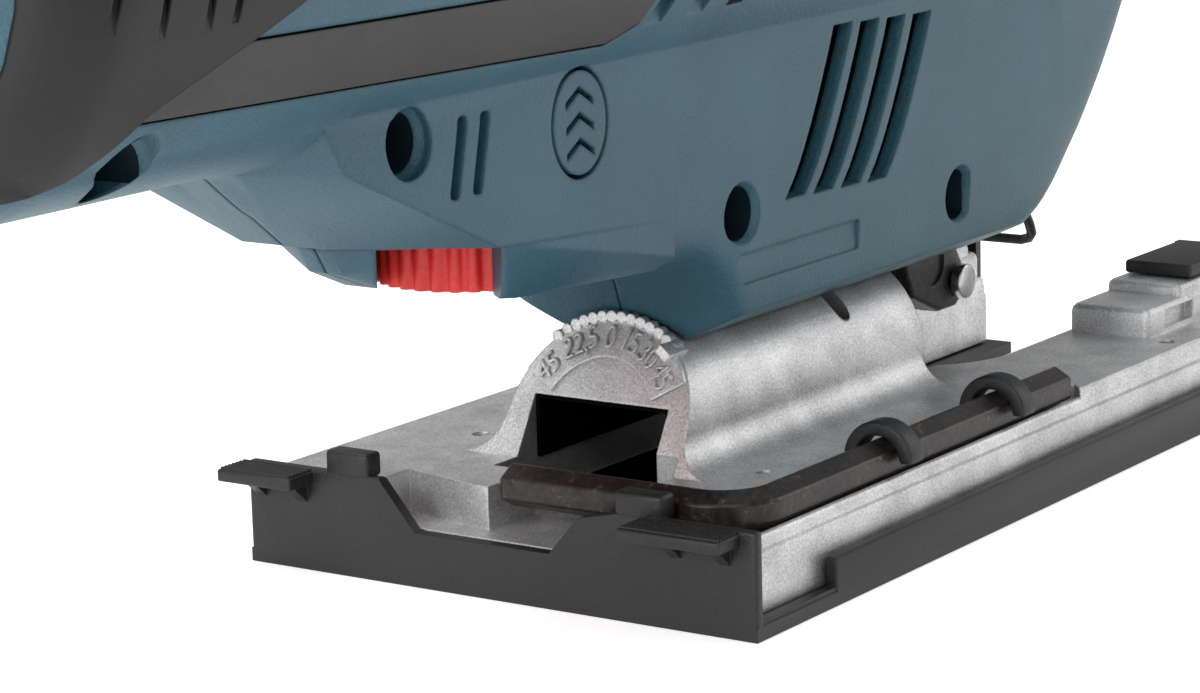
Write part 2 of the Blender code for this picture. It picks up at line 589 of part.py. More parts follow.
def build_base():
    plate = prism("base_plate", fork_outline(SHOE_WALL + GAP + 0.0004, SLOT_HALF, SLOT_START), BASE_BOTTOM, BASE_TOP,
                  "Z", "cast")
    dome = cylinder("dome_form", DOME_RADIUS, REAR_X + 0.010, REAR_X + DOME_FRONT, (0, DOME_Z), "X", None, 48)
    foot = box("dome_foot", (REAR_X + 0.010, -DOME_RADIUS, BASE_TOP - 0.004),
               (REAR_X + DOME_FRONT, DOME_RADIUS, DOME_Z))
    low_cut = box("dome_below", (REAR_X, -0.030, -0.020), (FRONT_X, 0.030, BASE_BOTTOM + 0.002))
    boolean(dome, low_cut)
    boolean(dome, foot, "UNION")
    lean_low, lean_high = PORT_FLOOR - 0.010, DOME_Z + 0.030
    lean = prism("dome_lean_cut", ((dome_rear_x(lean_low), lean_low), (dome_rear_x(lean_high), lean_high),
                                   (REAR_X - 0.010, lean_high), (REAR_X - 0.010, lean_low)), -0.030, 0.030)
    boolean(dome, lean)
    boolean(plate, dome, "UNION")
    for side in (-1, 1):
        ends = sorted((side * (SLOT_HALF + 0.0005), side * ARM_BLOCK_OUTER))
        low = box(f"arm_block_{side}", (REAR_X + ARM_BLOCK_START, ends[0], BASE_TOP - 0.002),
                  (FRONT_X - 0.0035, ends[1], ARM_BLOCK_TOP), bevel=0.0012)
        high = box(f"arm_step_{side}", (REAR_X + ARM_BLOCK_START + 0.0120, ends[0] + 0.0005, BASE_TOP),
                   (FRONT_X - 0.0060, ends[1] - 0.0005, ARM_BLOCK_HIGH), bevel=0.0010)
        boolean(plate, low, "UNION")
        boolean(plate, high, "UNION")
        hollow = sorted((side * (DOME_RADIUS + 0.0060), side * 0.0300))
        boolean(plate, box(f"underside_pocket_{side}", (REAR_X + 0.030, hollow[0], BASE_BOTTOM - 0.001),
                           (REAR_X + 0.125, hollow[1], 0.0090)))
        hole_x = REAR_X + 0.0302
        boolean(plate, cylinder(f"jig_hole_{side}", 0.0013, BASE_TOP - 0.002, 0.020, (hole_x, side * 0.0235), "Z",
                                None, 16))
    channel = box("dust_channel", (REAR_X + 0.016, -PORT_HALF, PORT_FLOOR), (FRONT_X, PORT_HALF, PORT_TOP))
    boolean(plate, channel)
    pocket = box("rear_pocket", (REAR_X - 0.005, -0.0145, PORT_FLOOR), (REAR_X + 0.0230, 0.0045, 0.030))
    ledge = box("rear_ledge", (REAR_X - 0.005, 0.0040, PORT_FLOOR), (REAR_X + 0.0068, 0.0185, 0.030))
    boolean(plate, pocket)
    boolean(plate, ledge)
    reach = KEY_FLATS / math.sqrt(3) + KEY_CLEAR
    groove_floor = KEY_Z - reach
    boolean(plate, box("key_groove", (REAR_X - 0.005, KEY_Y - reach, groove_floor),
                       (REAR_X + KEY_END_X + 0.0030, KEY_Y + reach, 0.030)))
    boolean(plate, box("key_cross_groove", (REAR_X - 0.005, KEY_Y - reach, groove_floor),
                       (REAR_X + KEY_ARM_X + reach + 0.0015, -0.0140, 0.030)))
    slot_x = REAR_X + 0.0770
    boolean(plate, box("tilt_slot", (slot_x - 0.0020, -0.0090, 0.0240), (slot_x + 0.0020, 0.0090, 0.0400)))
    boolean(plate, cylinder("clamp_bore", CLAMP_SHANK + GAP, -0.001, 0.024, (CLAMP_X, 0.0), "Z", None, 20))
    boolean(plate, cylinder("clamp_head_bore", CLAMP_HEAD + GAP, -0.001, BASE_BOTTOM + 0.0034, (CLAMP_X, 0.0), "Z",
                            None, 24))
    return plate


def build_shoe():
    outer = fork_outline(0.0, SLOT_HALF - 0.0035, SLOT_START + 0.0035)
    shoe = prism("glide_shoe", outer, 0.0, SHOE_FLOOR, "Z", "shoe")
    half = BASE_WIDTH / 2
    walls = []
    bar = 0.0005
    rear = box("shoe_rear_wall", (REAR_X, -half, bar), (REAR_X + SHOE_WALL, half, SHOE_REAR_HEIGHT), bevel=0.0004)
    notch = prism("shoe_notch", ((0.0182, 0.020), (0.0182, 0.0143), (0.0127, 0.0075), (-0.0092, 0.0075),
                                 (-0.0138, 0.0131), (-0.0200, 0.0150), (-0.0200, 0.020)),
                  REAR_X - 0.005, REAR_X + 0.005, "X")
    boolean(rear, notch)
    walls.append(rear)
    for side in (-1, 1):
        ends = sorted((side * (half - SHOE_WALL), side * half))
        walls.append(box(f"shoe_side_{side}", (REAR_X + SHOE_SIDE_START, ends[0], bar),
                         (FRONT_X - 0.0060, ends[1], SHOE_SIDE_HEIGHT)))
        ends = sorted((side * 0.0295, side * 0.0422))
        pad = box(f"release_pad_{side}", (REAR_X - 0.0052, min(ends), 0.0122), (REAR_X + 0.0008, max(ends), 0.0142))
        walls.append(pad)
        ends = sorted((side * 0.0200, side * 0.0272))
        walls.append(box(f"rear_clip_{side}", (REAR_X + 0.0001, ends[0], BASE_TOP + GAP),
                         (REAR_X + 0.0034, ends[1], 0.0172), bevel=0.0004))
        ends = sorted((side * 0.0185, side * 0.0300))
        front = FRONT_X - 0.0005
        walls.append(box(f"front_wall_{side}", (front - SHOE_WALL, ends[0], bar), (front, ends[1], 0.0222)))
        walls.append(box(f"front_clip_{side}", (front - 0.0200, ends[0], ARM_BLOCK_HIGH + GAP),
                         (front - 0.0004, ends[1], 0.0222), bevel=0.0004))
    for wall in walls:
        boolean(shoe, wall, "UNION")
    boolean(shoe, cylinder("shoe_clamp_access", 0.0062, -0.001, 0.003, (CLAMP_X, 0.0), "Z", None, 24))
    return shoe


def hex_key():
    """A hexagon bar swept round one bend: the short arm lies across, the long arm lies in the groove."""
    radius = KEY_FLATS / math.sqrt(3)
    bend = (REAR_X + KEY_ARM_X + KEY_BEND, KEY_Y + KEY_BEND)
    path = [(REAR_X + KEY_END_X, KEY_Y)] + [(x, y) for x, y in arc(bend, KEY_BEND, 270, 180, 6)]
    path.append((REAR_X + KEY_ARM_X, KEY_SHORT_END_Y))
    bm = bmesh.new()
    rings = []
    for i, (x, y) in enumerate(path):
        before = Vector(path[max(i - 1, 0)])
        after = Vector(path[min(i + 1, len(path) - 1)])
        forward = (after - before).normalized()
        side = Vector((forward.y, -forward.x))
        loop = []
        for corner in range(6):
            angle = math.radians(60 * corner + 30)
            out = side * (radius * math.cos(angle))
            loop.append(bm.verts.new((x + out.x, y + out.y, KEY_Z + radius * math.sin(angle))))
        rings.append(loop)
    for first, second in zip(rings, rings[1:]):
        for i in range(6):
            bm.faces.new((first[i], first[(i + 1) % 6], second[(i + 1) % 6], second[i]))
    bm.faces.new(rings[0])
    bm.faces.new(rings[-1])
    return set_origin(add_mesh("hex_key", bm, "key"), (REAR_X + KEY_ARM_X, KEY_Y, KEY_Z))


def key_clip(name, distance):
    """A plastic loop over the key, with both feet on the base plate."""
    x = REAR_X + distance
    inner = KEY_FLATS / math.sqrt(3) + KEY_CLEAR
    outer = inner + 0.0016
    foot = BASE_TOP + GAP
    outline = [(KEY_Y + outer, foot), *arc((KEY_Y, KEY_Z), outer, 5, 175, 12), (KEY_Y - outer, foot)]
    outline += [(KEY_Y - inner, foot), *arc((KEY_Y, KEY_Z), inner, 175, 5, 12), (KEY_Y + inner, foot)]
    return prism(name, outline, x - CLIP_WIRE / 2, x + CLIP_WIRE / 2, "X", "shoe")


def base_clamp():
    """The screw that holds the tilt from below, and the round-topped plate that it pulls into the dome."""
    head = cylinder("base_clamp_screw", CLAMP_HEAD, BASE_BOTTOM, BASE_BOTTOM + 0.0030, (CLAMP_X, 0.0), "Z", "steel", 24)
    shank = cylinder("clamp_shank", CLAMP_SHANK, BASE_BOTTOM + 0.0020, 0.0200, (CLAMP_X, 0.0), "Z", None, 20)
    boolean(head, shank, "UNION")
    boolean(head, cylinder("clamp_socket", 0.0028, BASE_BOTTOM - 0.001, BASE_BOTTOM + 0.0016, (CLAMP_X, 0.0), "Z",
                           None, 6))
    plate = box("clamp_plate", (CLAMP_X - 0.0090, -0.0085, PORT_FLOOR + GAP), (CLAMP_X + 0.0090, 0.0085, 0.0120),
                "steel", 0.0006)
    boolean(plate, cylinder("clamp_plate_hole", CLAMP_SHANK + RUNNING, 0.0, 0.030, (CLAMP_X, 0.0), "Z", None, 20))
    return head, plate


# ---- motor and gears -------------------------------------------------------------------------
def gear_outline(teeth, thinner, phase=0.0):
    """A spur gear's outline with straight-sided teeth about the module's pitch circle; phase is in degrees."""
    pitch = MODULE * teeth / 2
    tip, root = pitch + 0.9 * MODULE, pitch - 1.15 * MODULE
    step = 2 * math.pi / teeth
    half = step / 4 - thinner / pitch / 2
    outline = []
    for tooth in range(teeth):
        middle = tooth * step + math.radians(phase)
        for radius, offset in ((root, -1.65 * half), (tip, -0.45 * half), (tip, 0.45 * half), (root, 1.65 * half)):
            outline.append((radius * math.cos(middle + offset), radius * math.sin(middle + offset)))
    return outline


def gear(name, teeth, start, end, centre_z, look, phase=0.0):
    outline = [(y, centre_z + z) for y, z in gear_outline(teeth, BACKLASH, phase)]
    return prism(name, outline, start, end, "X", look)


def build_motor():
    axis = (0, BARREL_Z)
    origin = (0, 0, BARREL_Z)
    pinion_front = GEAR_REAR_X + GEAR_WIDTH + 0.0006
    shaft = cylinder("motor_shaft", SHAFT_RADIUS, REAR_BEARING_X - 0.001, GEAR_REAR_X, axis, "X", "steel", 24)
    pinion = gear("pinion_form", PINION_TEETH, GEAR_REAR_X - 0.0020, pinion_front, BARREL_Z, None, PINION_PHASE)
    boolean(shaft, pinion, "UNION")
    bore = SHAFT_RADIUS + RUNNING
    core = ring("armature_core", ARMATURE_RADIUS, bore, STATOR_X[0] + 0.002, STATOR_X[1] - 0.002, axis, "X",
                "dark_steel", 32)
    slots = 12
    for slot in range(slots):
        angle = 2 * math.pi * slot / slots
        place = (ARMATURE_RADIUS * math.cos(angle), BARREL_Z + ARMATURE_RADIUS * math.sin(angle))
        boolean(core, cylinder(f"winding_slot_{slot}", 0.0011, STATOR_X[0], STATOR_X[1], place, "X", None, 8))
    segments = ring("commutator", COMMUTATOR_RADIUS, bore, *COMMUTATOR_X, axis, "X", "copper", 32)
    fan = ring("cooling_fan", FAN_RADIUS, bore, FAN_X[0], FAN_X[0] + 0.0018, axis, "X", "black_plastic", 32)
    blades = 10
    for blade in range(blades):
        vane = box(f"fan_blade_{blade}", (FAN_X[0] + 0.001, -0.0006, BARREL_Z + 0.0080),
                   (FAN_X[1], 0.0006, BARREL_Z + FAN_RADIUS - 0.0004))
        turn = Matrix.Translation(origin) @ Matrix.Rotation(2 * math.pi * blade / blades, 4, "X")
        vane.data.transform(turn @ Matrix.Translation(-Vector(origin)))
        boolean(fan, vane, "UNION")
    hub = ring("fan_hub_form", 0.0075, bore, FAN_X[0] + 0.0005, FAN_X[1] - 0.002, axis, "X", None, 32)
    boolean(fan, hub, "UNION")
    return [set_origin(piece, origin) for piece in (shaft, core, segments, fan)]


def build_stator():
    axis = (0, BARREL_Z)
    ring("stator_core", STATOR_OUTER, STATOR_INNER, *STATOR_X, axis, "X", "dark_steel", 32)
    for name, start in (("rear_bearing", REAR_BEARING_X), ("front_bearing", FRAME_WEB_X[0] + 0.0005)):
        ring(name, BEARING_OUTER, SHAFT_RADIUS + RUNNING, start, start + BEARING_WIDTH, axis, "X", "steel", 32)
    for side, word in ((-1, "right"), (1, "left")):
        mid_x = sum(COMMUTATOR_X) / 2
        ends = sorted((side * (COMMUTATOR_RADIUS + 0.0008), side * 0.0235))
        holder = box(f"brush_holder_{word}", (mid_x - 0.0048, ends[0], BARREL_Z - 0.0060),
                     (mid_x + 0.0048, ends[1], BARREL_Z + 0.0060), "brass")
        ends = sorted((side * COMMUTATOR_RADIUS, side * 0.0225))
        boolean(holder, box(f"brush_way_{word}", (mid_x - 0.0035, ends[0], BARREL_Z - 0.0045),
                            (mid_x + 0.0035, ends[1], BARREL_Z + 0.0045)))
        ends = sorted((side * (COMMUTATOR_RADIUS + GAP), side * 0.0200))
        box(f"carbon_brush_{word}", (mid_x - 0.0035 + GAP, ends[0], BARREL_Z - 0.0045 + GAP),
            (mid_x + 0.0035 - GAP, ends[1], BARREL_Z + 0.0045 - GAP), "carbon")


def build_gear_frame():
    """The cast bracket: a web for bearing and axle, and two arms for the plunger's bushes."""
    low, high = FRAME_LOW_ARM_Z, FRAME_HIGH_ARM_Z
    rear, web_front = FRAME_WEB_X
    outline = ((rear, low[0]), (FRAME_FRONT_X, low[0]), (FRAME_FRONT_X, low[1]), (web_front, low[1]),
               (web_front, high[0]), (FRAME_FRONT_X, high[0]), (FRAME_FRONT_X, high[1]), (rear, high[1]))
    frame = prism("gear_frame", outline, -FRAME_HALF, FRAME_HALF, "Y", "cast")
    boolean(frame, cylinder("front_bearing_seat", BEARING_OUTER + GAP, rear - 0.001, rear + 0.0068, (0, BARREL_Z), "X",
                            None, 48))
    boolean(frame, cylinder("front_shaft_hole", SHAFT_RADIUS + 0.0008, rear - 0.001, web_front + 0.001, (0, BARREL_Z),
                            "X", None, 24))
    boolean(frame, cylinder("axle_seat", AXLE_RADIUS + RUNNING, rear - 0.001, web_front + 0.001, (0, GEAR_Z), "X", None,
                            24))
    boolean(frame, loft("frame_limit", stations_between(rear - 0.004, NOSE_REACH - 0.0035), WALL + GAP), "INTERSECT")
    bush = PLUNGER_RADIUS + BUSH_WALL
    for word, (start, end) in (("lower", low), ("upper", high)):
        boolean(frame, cylinder(f"{word}_bush_seat", bush + RUNNING, start - 0.001, end + 0.001, (BLADE_X, 0), "Z",
                                None, 32))
        ring(f"{word}_bush", bush, PLUNGER_RADIUS + RUNNING / 2, start, end, (BLADE_X, 0), "Z", "brass", 32)
    cylinder("gear_axle", AXLE_RADIUS, rear + 0.0005, GEAR_REAR_X + GEAR_WIDTH, (0, GEAR_Z), "X", "steel", 24)
    return frame


def build_crank():
    origin = (0, 0, GEAR_Z)
    wheel = gear("crank_gear", GEAR_TEETH, GEAR_REAR_X, GEAR_REAR_X + GEAR_WIDTH, GEAR_Z, "steel", 90.0)
    boolean(wheel, cylinder("crank_gear_bore", AXLE_RADIUS + RUNNING, GEAR_REAR_X - 0.001, GEAR_REAR_X + 0.010,
                            (0, GEAR_Z), "X", None, 24))
    pin_z = GEAR_Z + CRANK
    pin_start = GEAR_REAR_X + 0.0010
    boolean(wheel, cylinder("crank_pin_seat", CRANK_PIN_RADIUS + RUNNING, pin_start - RUNNING, GEAR_REAR_X + 0.010,
                            (0, pin_z), "X", None, 20))
    pin = cylinder("crank_pin", CRANK_PIN_RADIUS, pin_start, YOKE_REAR_X - GAP, (0, pin_z), "X", "steel", 20)
    return [set_origin(piece, origin) for piece in (wheel, pin)]


def build_plunger():
    """Plunger, yoke and blade holder, drawn at the top of the stroke."""
    middle = GEAR_Z + CRANK
    rail = CRANK_PIN_RADIUS + RUNNING * 2
    rod = cylinder("plunger_rod", PLUNGER_RADIUS, PLUNGER_LOW_Z, PLUNGER_HIGH_Z, (BLADE_X, 0), "Z", "steel", 32)
    yoke = box("scotch_yoke", (YOKE_REAR_X, -YOKE_HALF, middle - rail - YOKE_RAIL),
               (YOKE_REAR_X + 0.0036, YOKE_HALF, middle + rail + YOKE_RAIL), "steel", 0.0004)
    boolean(yoke, box("yoke_way", (YOKE_REAR_X - 0.001, -YOKE_HALF - 0.001, middle - rail),
                      (YOKE_REAR_X + 0.0024, YOKE_HALF + 0.001, middle + rail)))
    boolean(yoke, box("yoke_boss", (YOKE_REAR_X + 0.0030, -0.0062, middle - rail - YOKE_RAIL),
                      (BLADE_X + 0.0062, 0.0062, middle + rail + YOKE_RAIL)), "UNION")
    boolean(yoke, cylinder("yoke_bore", PLUNGER_RADIUS + GAP / 2, middle - 0.012, middle + 0.012, (BLADE_X, 0), "Z",
                           None, 32))
    holder_top = FRAME_LOW_ARM_Z[0] - GAP
    holder = cylinder("blade_holder", HOLDER_RADIUS, holder_top - HOLDER_LENGTH, holder_top, (BLADE_X, 0), "Z", "dark_steel",
                      32)
    boolean(holder, cylinder("holder_bore", PLUNGER_RADIUS + GAP / 2, PLUNGER_LOW_Z - GAP, holder_top + 0.001,
                             (BLADE_X, 0), "Z", None, 32))
    boolean(holder, box("blade_slit", (BLADE_X - 0.0042, -0.0009, 0.020), (BLADE_X + 0.0042, 0.0009,
                                                                         PLUNGER_LOW_Z - 0.0012)))
    return [set_origin(piece, (BLADE_X, 0, middle)) for piece in (rod, yoke, holder)]


# ---- orbital action --------------------------------------------------------------------------
BRACKET_OUTLINE = ((0.0370, 0.0330), (0.0395, 0.0445), (0.0455, 0.0445), (0.0490, 0.0365), (0.0545, 0.0290),
                   (0.0572, 0.0250), (0.0572, 0.0215), (0.0545, 0.0195), (0.0490, 0.0195), (0.0410, 0.0230))


def build_orbital():
    pivot = (ORBIT_PIVOT_X, 0, ORBIT_PIVOT_Z)
    bracket = prism("roller_bracket", BRACKET_OUTLINE, -BRACKET_HALF, BRACKET_HALF, "Y", "dark_steel")
    boolean(bracket, box("roller_gap", (ROLLER_X - ROLLER_RADIUS - 0.0008, -ROLLER_HALF - GAP, 0.005),
                         (0.090, ROLLER_HALF + GAP, ROLLER_Z + ROLLER_RADIUS + 0.0008)))
    ways = (("pivot_way", ORBIT_PIN_RADIUS, ORBIT_PIVOT_X, ORBIT_PIVOT_Z),
            ("roller_pin_way", ROLLER_PIN, ROLLER_X, ROLLER_Z))
    for name, radius, x, z in ways:
        boolean(bracket, cylinder(name, radius + RUNNING, -0.020, 0.020, (x, z), "Y", None, 24))
    cylinder("orbit_pivot_pin", ORBIT_PIN_RADIUS, -MOUTH_HALF + GAP, MOUTH_HALF - GAP,
             (ORBIT_PIVOT_X, ORBIT_PIVOT_Z), "Y", "steel", 24)
    pin = cylinder("roller_pin", ROLLER_PIN, -BRACKET_HALF - 0.0016, BRACKET_HALF + 0.0004, (ROLLER_X, ROLLER_Z), "Y",
                   "steel", 24)
    boolean(pin, cylinder("roller_pin_head", 0.0027, -BRACKET_HALF - 0.0020, -BRACKET_HALF - GAP,
                          (ROLLER_X, ROLLER_Z), "Y", None, 24), "UNION")
    roller = cylinder("guide_roller", ROLLER_RADIUS, -ROLLER_HALF, ROLLER_HALF, (ROLLER_X, ROLLER_Z), "Y", "steel", 40)
    boolean(roller, cylinder("roller_bore", ROLLER_PIN + RUNNING, -0.010, 0.010, (ROLLER_X, ROLLER_Z), "Y", None, 24))
    groove = ring("roller_groove", ROLLER_RADIUS + 0.002, ROLLER_RADIUS - 0.0012, -0.0007, 0.0007,
                  (ROLLER_X, ROLLER_Z), "Y", None, 40)
    boolean(roller, groove)
    set_origin(bracket, pivot)
    set_origin(pin, pivot)
    set_origin(roller, (ROLLER_X, 0, ROLLER_Z))


# ---- controls, covers and fasteners ----------------------------------------------------------
def build_dial():
    origin = (DIAL_X, DIAL_Y, (DIAL_LOW_Z + DIAL_HIGH_Z) / 2)
    outline = []
    ribs = 30
    for rib in range(ribs):
        for radius, share in ((DIAL_RADIUS, 0.0), (DIAL_RADIUS, 0.55), (DIAL_RADIUS - 0.0004, 0.78)):
            angle = 2 * math.pi * (rib + share) / ribs
            outline.append((DIAL_X + radius * math.cos(angle), DIAL_Y + radius * math.sin(angle)))
    dial = prism("speed_dial", outline, DIAL_LOW_Z, DIAL_HIGH_Z, "Z", "dial")
    return set_origin(dial, origin)


def build_knob():
    wall = half_width(KNOB_X, KNOB_Z)
    start = half_width(KNOB_X, KNOB_Z + KNOB_RADIUS) + GAP
    knob = cylinder("orbital_knob", KNOB_RADIUS, start, start + 0.0030, (KNOB_X, KNOB_Z), "Y", "black_plastic", 40)
    boolean(knob, box("knob_bar", (KNOB_X - KNOB_RADIUS - 0.0035, start + 0.001, KNOB_Z - 0.0028),
                      (KNOB_X + KNOB_RADIUS - 0.0010, start + 0.0075, KNOB_Z + 0.0028), bevel=0.0008), "UNION")
    boolean(knob, cylinder("knob_stem", KNOB_STEM, wall - WALL - 0.0030, start + 0.001, (KNOB_X, KNOB_Z), "Y", None,
                           20), "UNION")
    return set_origin(knob, (KNOB_X, start, KNOB_Z))


def build_switch():
    x, y = BUTTON_HALF
    top = BARREL_Z + BARREL_RADIUS
    button = box("switch_button", (SWITCH_X - x, -y, SWITCH_TOP_Z + GAP), (SWITCH_X + x, y, top + 0.0022), "dial",
                 0.0006)
    for groove in range(4):
        rib_x = SWITCH_X - x + 0.0035 + 0.0030 * groove
        boolean(button, box(f"button_groove_{groove}", (rib_x - 0.0005, -0.010, top + 0.0014),
                            (rib_x + 0.0005, 0.010, top + 0.010)))
    box("power_switch", (SWITCH_X - 0.0130, -0.0090, SWITCH_TOP_Z - 0.0130),
        (SWITCH_X + 0.0110, 0.0090, SWITCH_TOP_Z), "black_plastic", 0.0006)
    box("speed_module", (-0.0960, -0.0090, 0.0570), (REAR_BEARING_X - 0.0010, 0.0090, 0.0640), "black_plastic",
        0.0006)
    return set_origin(button, (SWITCH_X, 0, top))


def build_lever():
    """The blade release flap on the flat of the nose, hinged at its top edge."""
    near = NOSE_REACH + GAP
    outline = ((near, LEVER_LOW_Z), (near + LEVER_THICK + 0.0016, LEVER_LOW_Z), (near + LEVER_THICK, LEVER_LOW_Z + 0.005),
               (near + LEVER_THICK, LEVER_TOP_Z - 0.0015), (near + LEVER_THICK - 0.0015, LEVER_TOP_Z),
               (near, LEVER_TOP_Z))
    lever = prism("blade_release_lever", outline, -LEVER_HALF, LEVER_HALF, "Y", "black_plastic")
    add_bevel(lever, 0.0006)
    return set_origin(lever, (near, 0, LEVER_TOP_Z))


def wire_guard():
    """The bent wire that keeps fingers off the blade, clipped inside the nose mouth."""
    y = MOUTH_HALF - GAP - GUARD_WIRE
    side = [(BLADE_X + 0.0060, y, 0.0440), (BLADE_X + 0.0060, y, 0.0360), (BLADE_X + 0.0105, y, 0.0290),
            (BLADE_X + 0.0122, y - 0.0008, 0.0270), (BLADE_X + 0.0128, y - 0.0026, 0.0262)]
    path = side + [(x, -y_side, z) for x, y_side, z in reversed(side)]
    return tube("wire_guard", path, GUARD_WIRE, "steel")


def screw(name, x, z):
    head_floor = RECESS_FLOOR_Y - GAP
    body = cylinder(name, SCREW_HEAD, head_floor - 0.0024, head_floor, (x, z), "Y", "dark_steel", 20)
    boolean(body, cylinder(name + "_shank", SCREW_SHANK, head_floor - 0.001, SCREW_END_Y, (x, z), "Y", None, 12),
            "UNION")
    boolean(body, cylinder(name + "_drive", 0.0016, head_floor - 0.003, head_floor - 0.0012, (x, z), "Y", None, 6))
    return body


def build_gland():
    ring("cable_gland", GLAND_RADIUS, CABLE_RADIUS, HOUSING_REAR_X - 0.0040, HOUSING_REAR_X + 0.0120, (0, BARREL_Z),
         "X", "rubber", 32)


PINION_PHASE = 90.0 + 180.0 + 180.0 / PINION_TEETH
YOKE_REAR_X = GEAR_REAR_X + GEAR_WIDTH + 0.0045
SWITCH_TOP_Z = BARREL_Z + 0.0240

clear_scene()
PARTS = collection("jigsaw")
CUTTERS = collection("cutters")
right_half, left_half = build_housing()
finish_housing(right_half, left_half)
grip_pad(-1, "grip_pad_right")
grip_pad(1, "grip_pad_left")
rear_sleeve()
build_gland()
build_motor()
build_stator()
build_gear_frame()
build_crank()
build_plunger()
build_orbital()
build_dial()
build_knob()
build_switch()
build_lever()
wire_guard()
for screw_number, screw_place in enumerate(SCREW_PLACES):
    screw(f"housing_screw_{screw_number + 1}", *screw_place)
base_pieces = [build_base(), build_shoe(), *base_clamp()]
base_pieces += [key_clip(f"key_clip_{word}", place) for word, place in zip(("rear", "front"), CLIP_PLACES)]
for piece in base_pieces:
    set_origin(piece, (REAR_X + DOME_REAR, 0, DOME_Z))
hex_key()
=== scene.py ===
"""The jigsaw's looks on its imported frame: detailed pieces, materials, light and camera.

Metres, +X forward, +Y to the left, +Z up.
"""
import json
import math

import bmesh
import bpy
import numpy as np
from mathutils import Matrix, Vector


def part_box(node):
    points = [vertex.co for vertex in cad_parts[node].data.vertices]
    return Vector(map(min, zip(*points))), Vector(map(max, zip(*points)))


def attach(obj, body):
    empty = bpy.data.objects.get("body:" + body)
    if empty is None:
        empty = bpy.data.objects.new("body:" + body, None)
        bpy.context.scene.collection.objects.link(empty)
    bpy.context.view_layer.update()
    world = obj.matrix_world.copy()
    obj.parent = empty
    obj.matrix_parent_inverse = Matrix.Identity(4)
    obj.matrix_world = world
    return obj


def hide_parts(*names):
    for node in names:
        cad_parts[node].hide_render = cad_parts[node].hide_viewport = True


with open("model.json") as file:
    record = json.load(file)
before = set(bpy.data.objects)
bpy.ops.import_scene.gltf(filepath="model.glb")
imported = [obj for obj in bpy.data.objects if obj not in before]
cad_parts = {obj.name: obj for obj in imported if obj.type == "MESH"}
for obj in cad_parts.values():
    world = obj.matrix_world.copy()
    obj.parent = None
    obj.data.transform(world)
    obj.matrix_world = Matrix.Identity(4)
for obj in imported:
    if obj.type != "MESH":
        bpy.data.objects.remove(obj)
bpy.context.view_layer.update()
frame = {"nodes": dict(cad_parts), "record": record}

# ---- sizes shared with the CAD model ---------------------------------------------------------
REAR_X = -0.060
FRONT_X = 0.108
BASE_HALF = 0.041
HOUSING_REAR_X = -0.172
BARREL_RADIUS = 0.032
BARREL_Z = 0.097
CASE_HALF = 0.0200
HEAD_TOP_Z = 0.150
NOSE_REACH = 0.100
GAP = 0.0003
WALL = 0.0028
SHOE_FLOOR = 0.0019
SHOE_WALL = 0.0017
BASE_BOTTOM = SHOE_FLOOR + GAP
BASE_TOP = 0.0135
SLOT_HALF = 0.0165
SLOT_START = 0.0955
DOME_RADIUS = 0.0148
DOME_Z = 0.0178
DOME_REAR = 0.0240
DOME_FRONT = 0.0890
DOME_LEAN = math.radians(30.5)
PORT_HALF = 0.0110
PORT_FLOOR = 0.0075
PORT_TOP = 0.0215
SADDLE_LOW_Z = 0.0295
SADDLE_EDGE_Z = 0.0345
SADDLE_ROOF_Z = 0.0371
KEY_FLATS = 0.005
KEY_Y = -0.0345
KEY_Z = 0.0140
KEY_ARM_X = 0.0070
KEY_END_X = 0.0935
KEY_SHORT_END_Y = 0.0020
KEY_BEND = 0.0065
CLIP_PLACES = (0.0430, 0.0750)
BLADE_X = 0.0640
ROLLER_X = 0.0545
ROLLER_Z = 0.0235
ROLLER_RADIUS = 0.0052
ROLLER_HALF = 0.0022
BRACKET_HALF = 0.0062
ORBIT_PIVOT_X = 0.0425
ORBIT_PIVOT_Z = 0.0405
MOUTH_HALF = 0.0095
MOUTH_TOP_Z = 0.0560
MOUTH_FRONT = 0.0075
DIAL_X = -0.0620
DIAL_RADIUS = 0.0128
DIAL_LOW_Z = 0.0440
DIAL_HIGH_Z = 0.0515
KNOB_X = 0.0300
KNOB_Z = 0.0540
KNOB_RADIUS = 0.0085
SWITCH_X = -0.0620
SWITCH_TRAVEL = 0.0060
BUTTON_HALF = (0.0080, 0.0042)
GLAND_RADIUS = 0.0075
CLAMP_X = 0.0160
SHOULDER = 0.78
LOW_ROUND = 1.6
PAD_DEPTH = 0.0010
SLEEVE_THICK = 0.0016
CUT_FAR = 0.060
OUTSIDE = 0.045              # a cutter's outer end, clear of the housing's sides
BAND_PROUD = 0.0008          # the number band over the dome's leaning face
BAND_INNER = 0.0093
NUMBER_RADIUS = 0.0119
NUMBER_SIZE = 0.0041
NUMBER_DEPTH = 0.00055
NUMBER_SQUEEZE = 0.86
TEETH = 14
TOOTH_RADIUS = 0.00085
TOOTH_RING = 0.01465
SADDLE_REAR_X = -0.0284
DIAL_RIBS = 32
PAD_RIBS = 7
DIAL_ROOM = 0.0005           # clearance round the thumbwheel
SCREW_BOSS = 0.0050
SCREW_BORE = 0.0018
RECESS = 0.0037
RECESS_MOUTH = 0.0044
RECESS_FLOOR_Y = -0.0085
GUARD_WIRE = 0.0008
SKIN_DEPTH = 0.0014          # deeper than this inside the housing's outline is its unlit inside, which gets painted shade
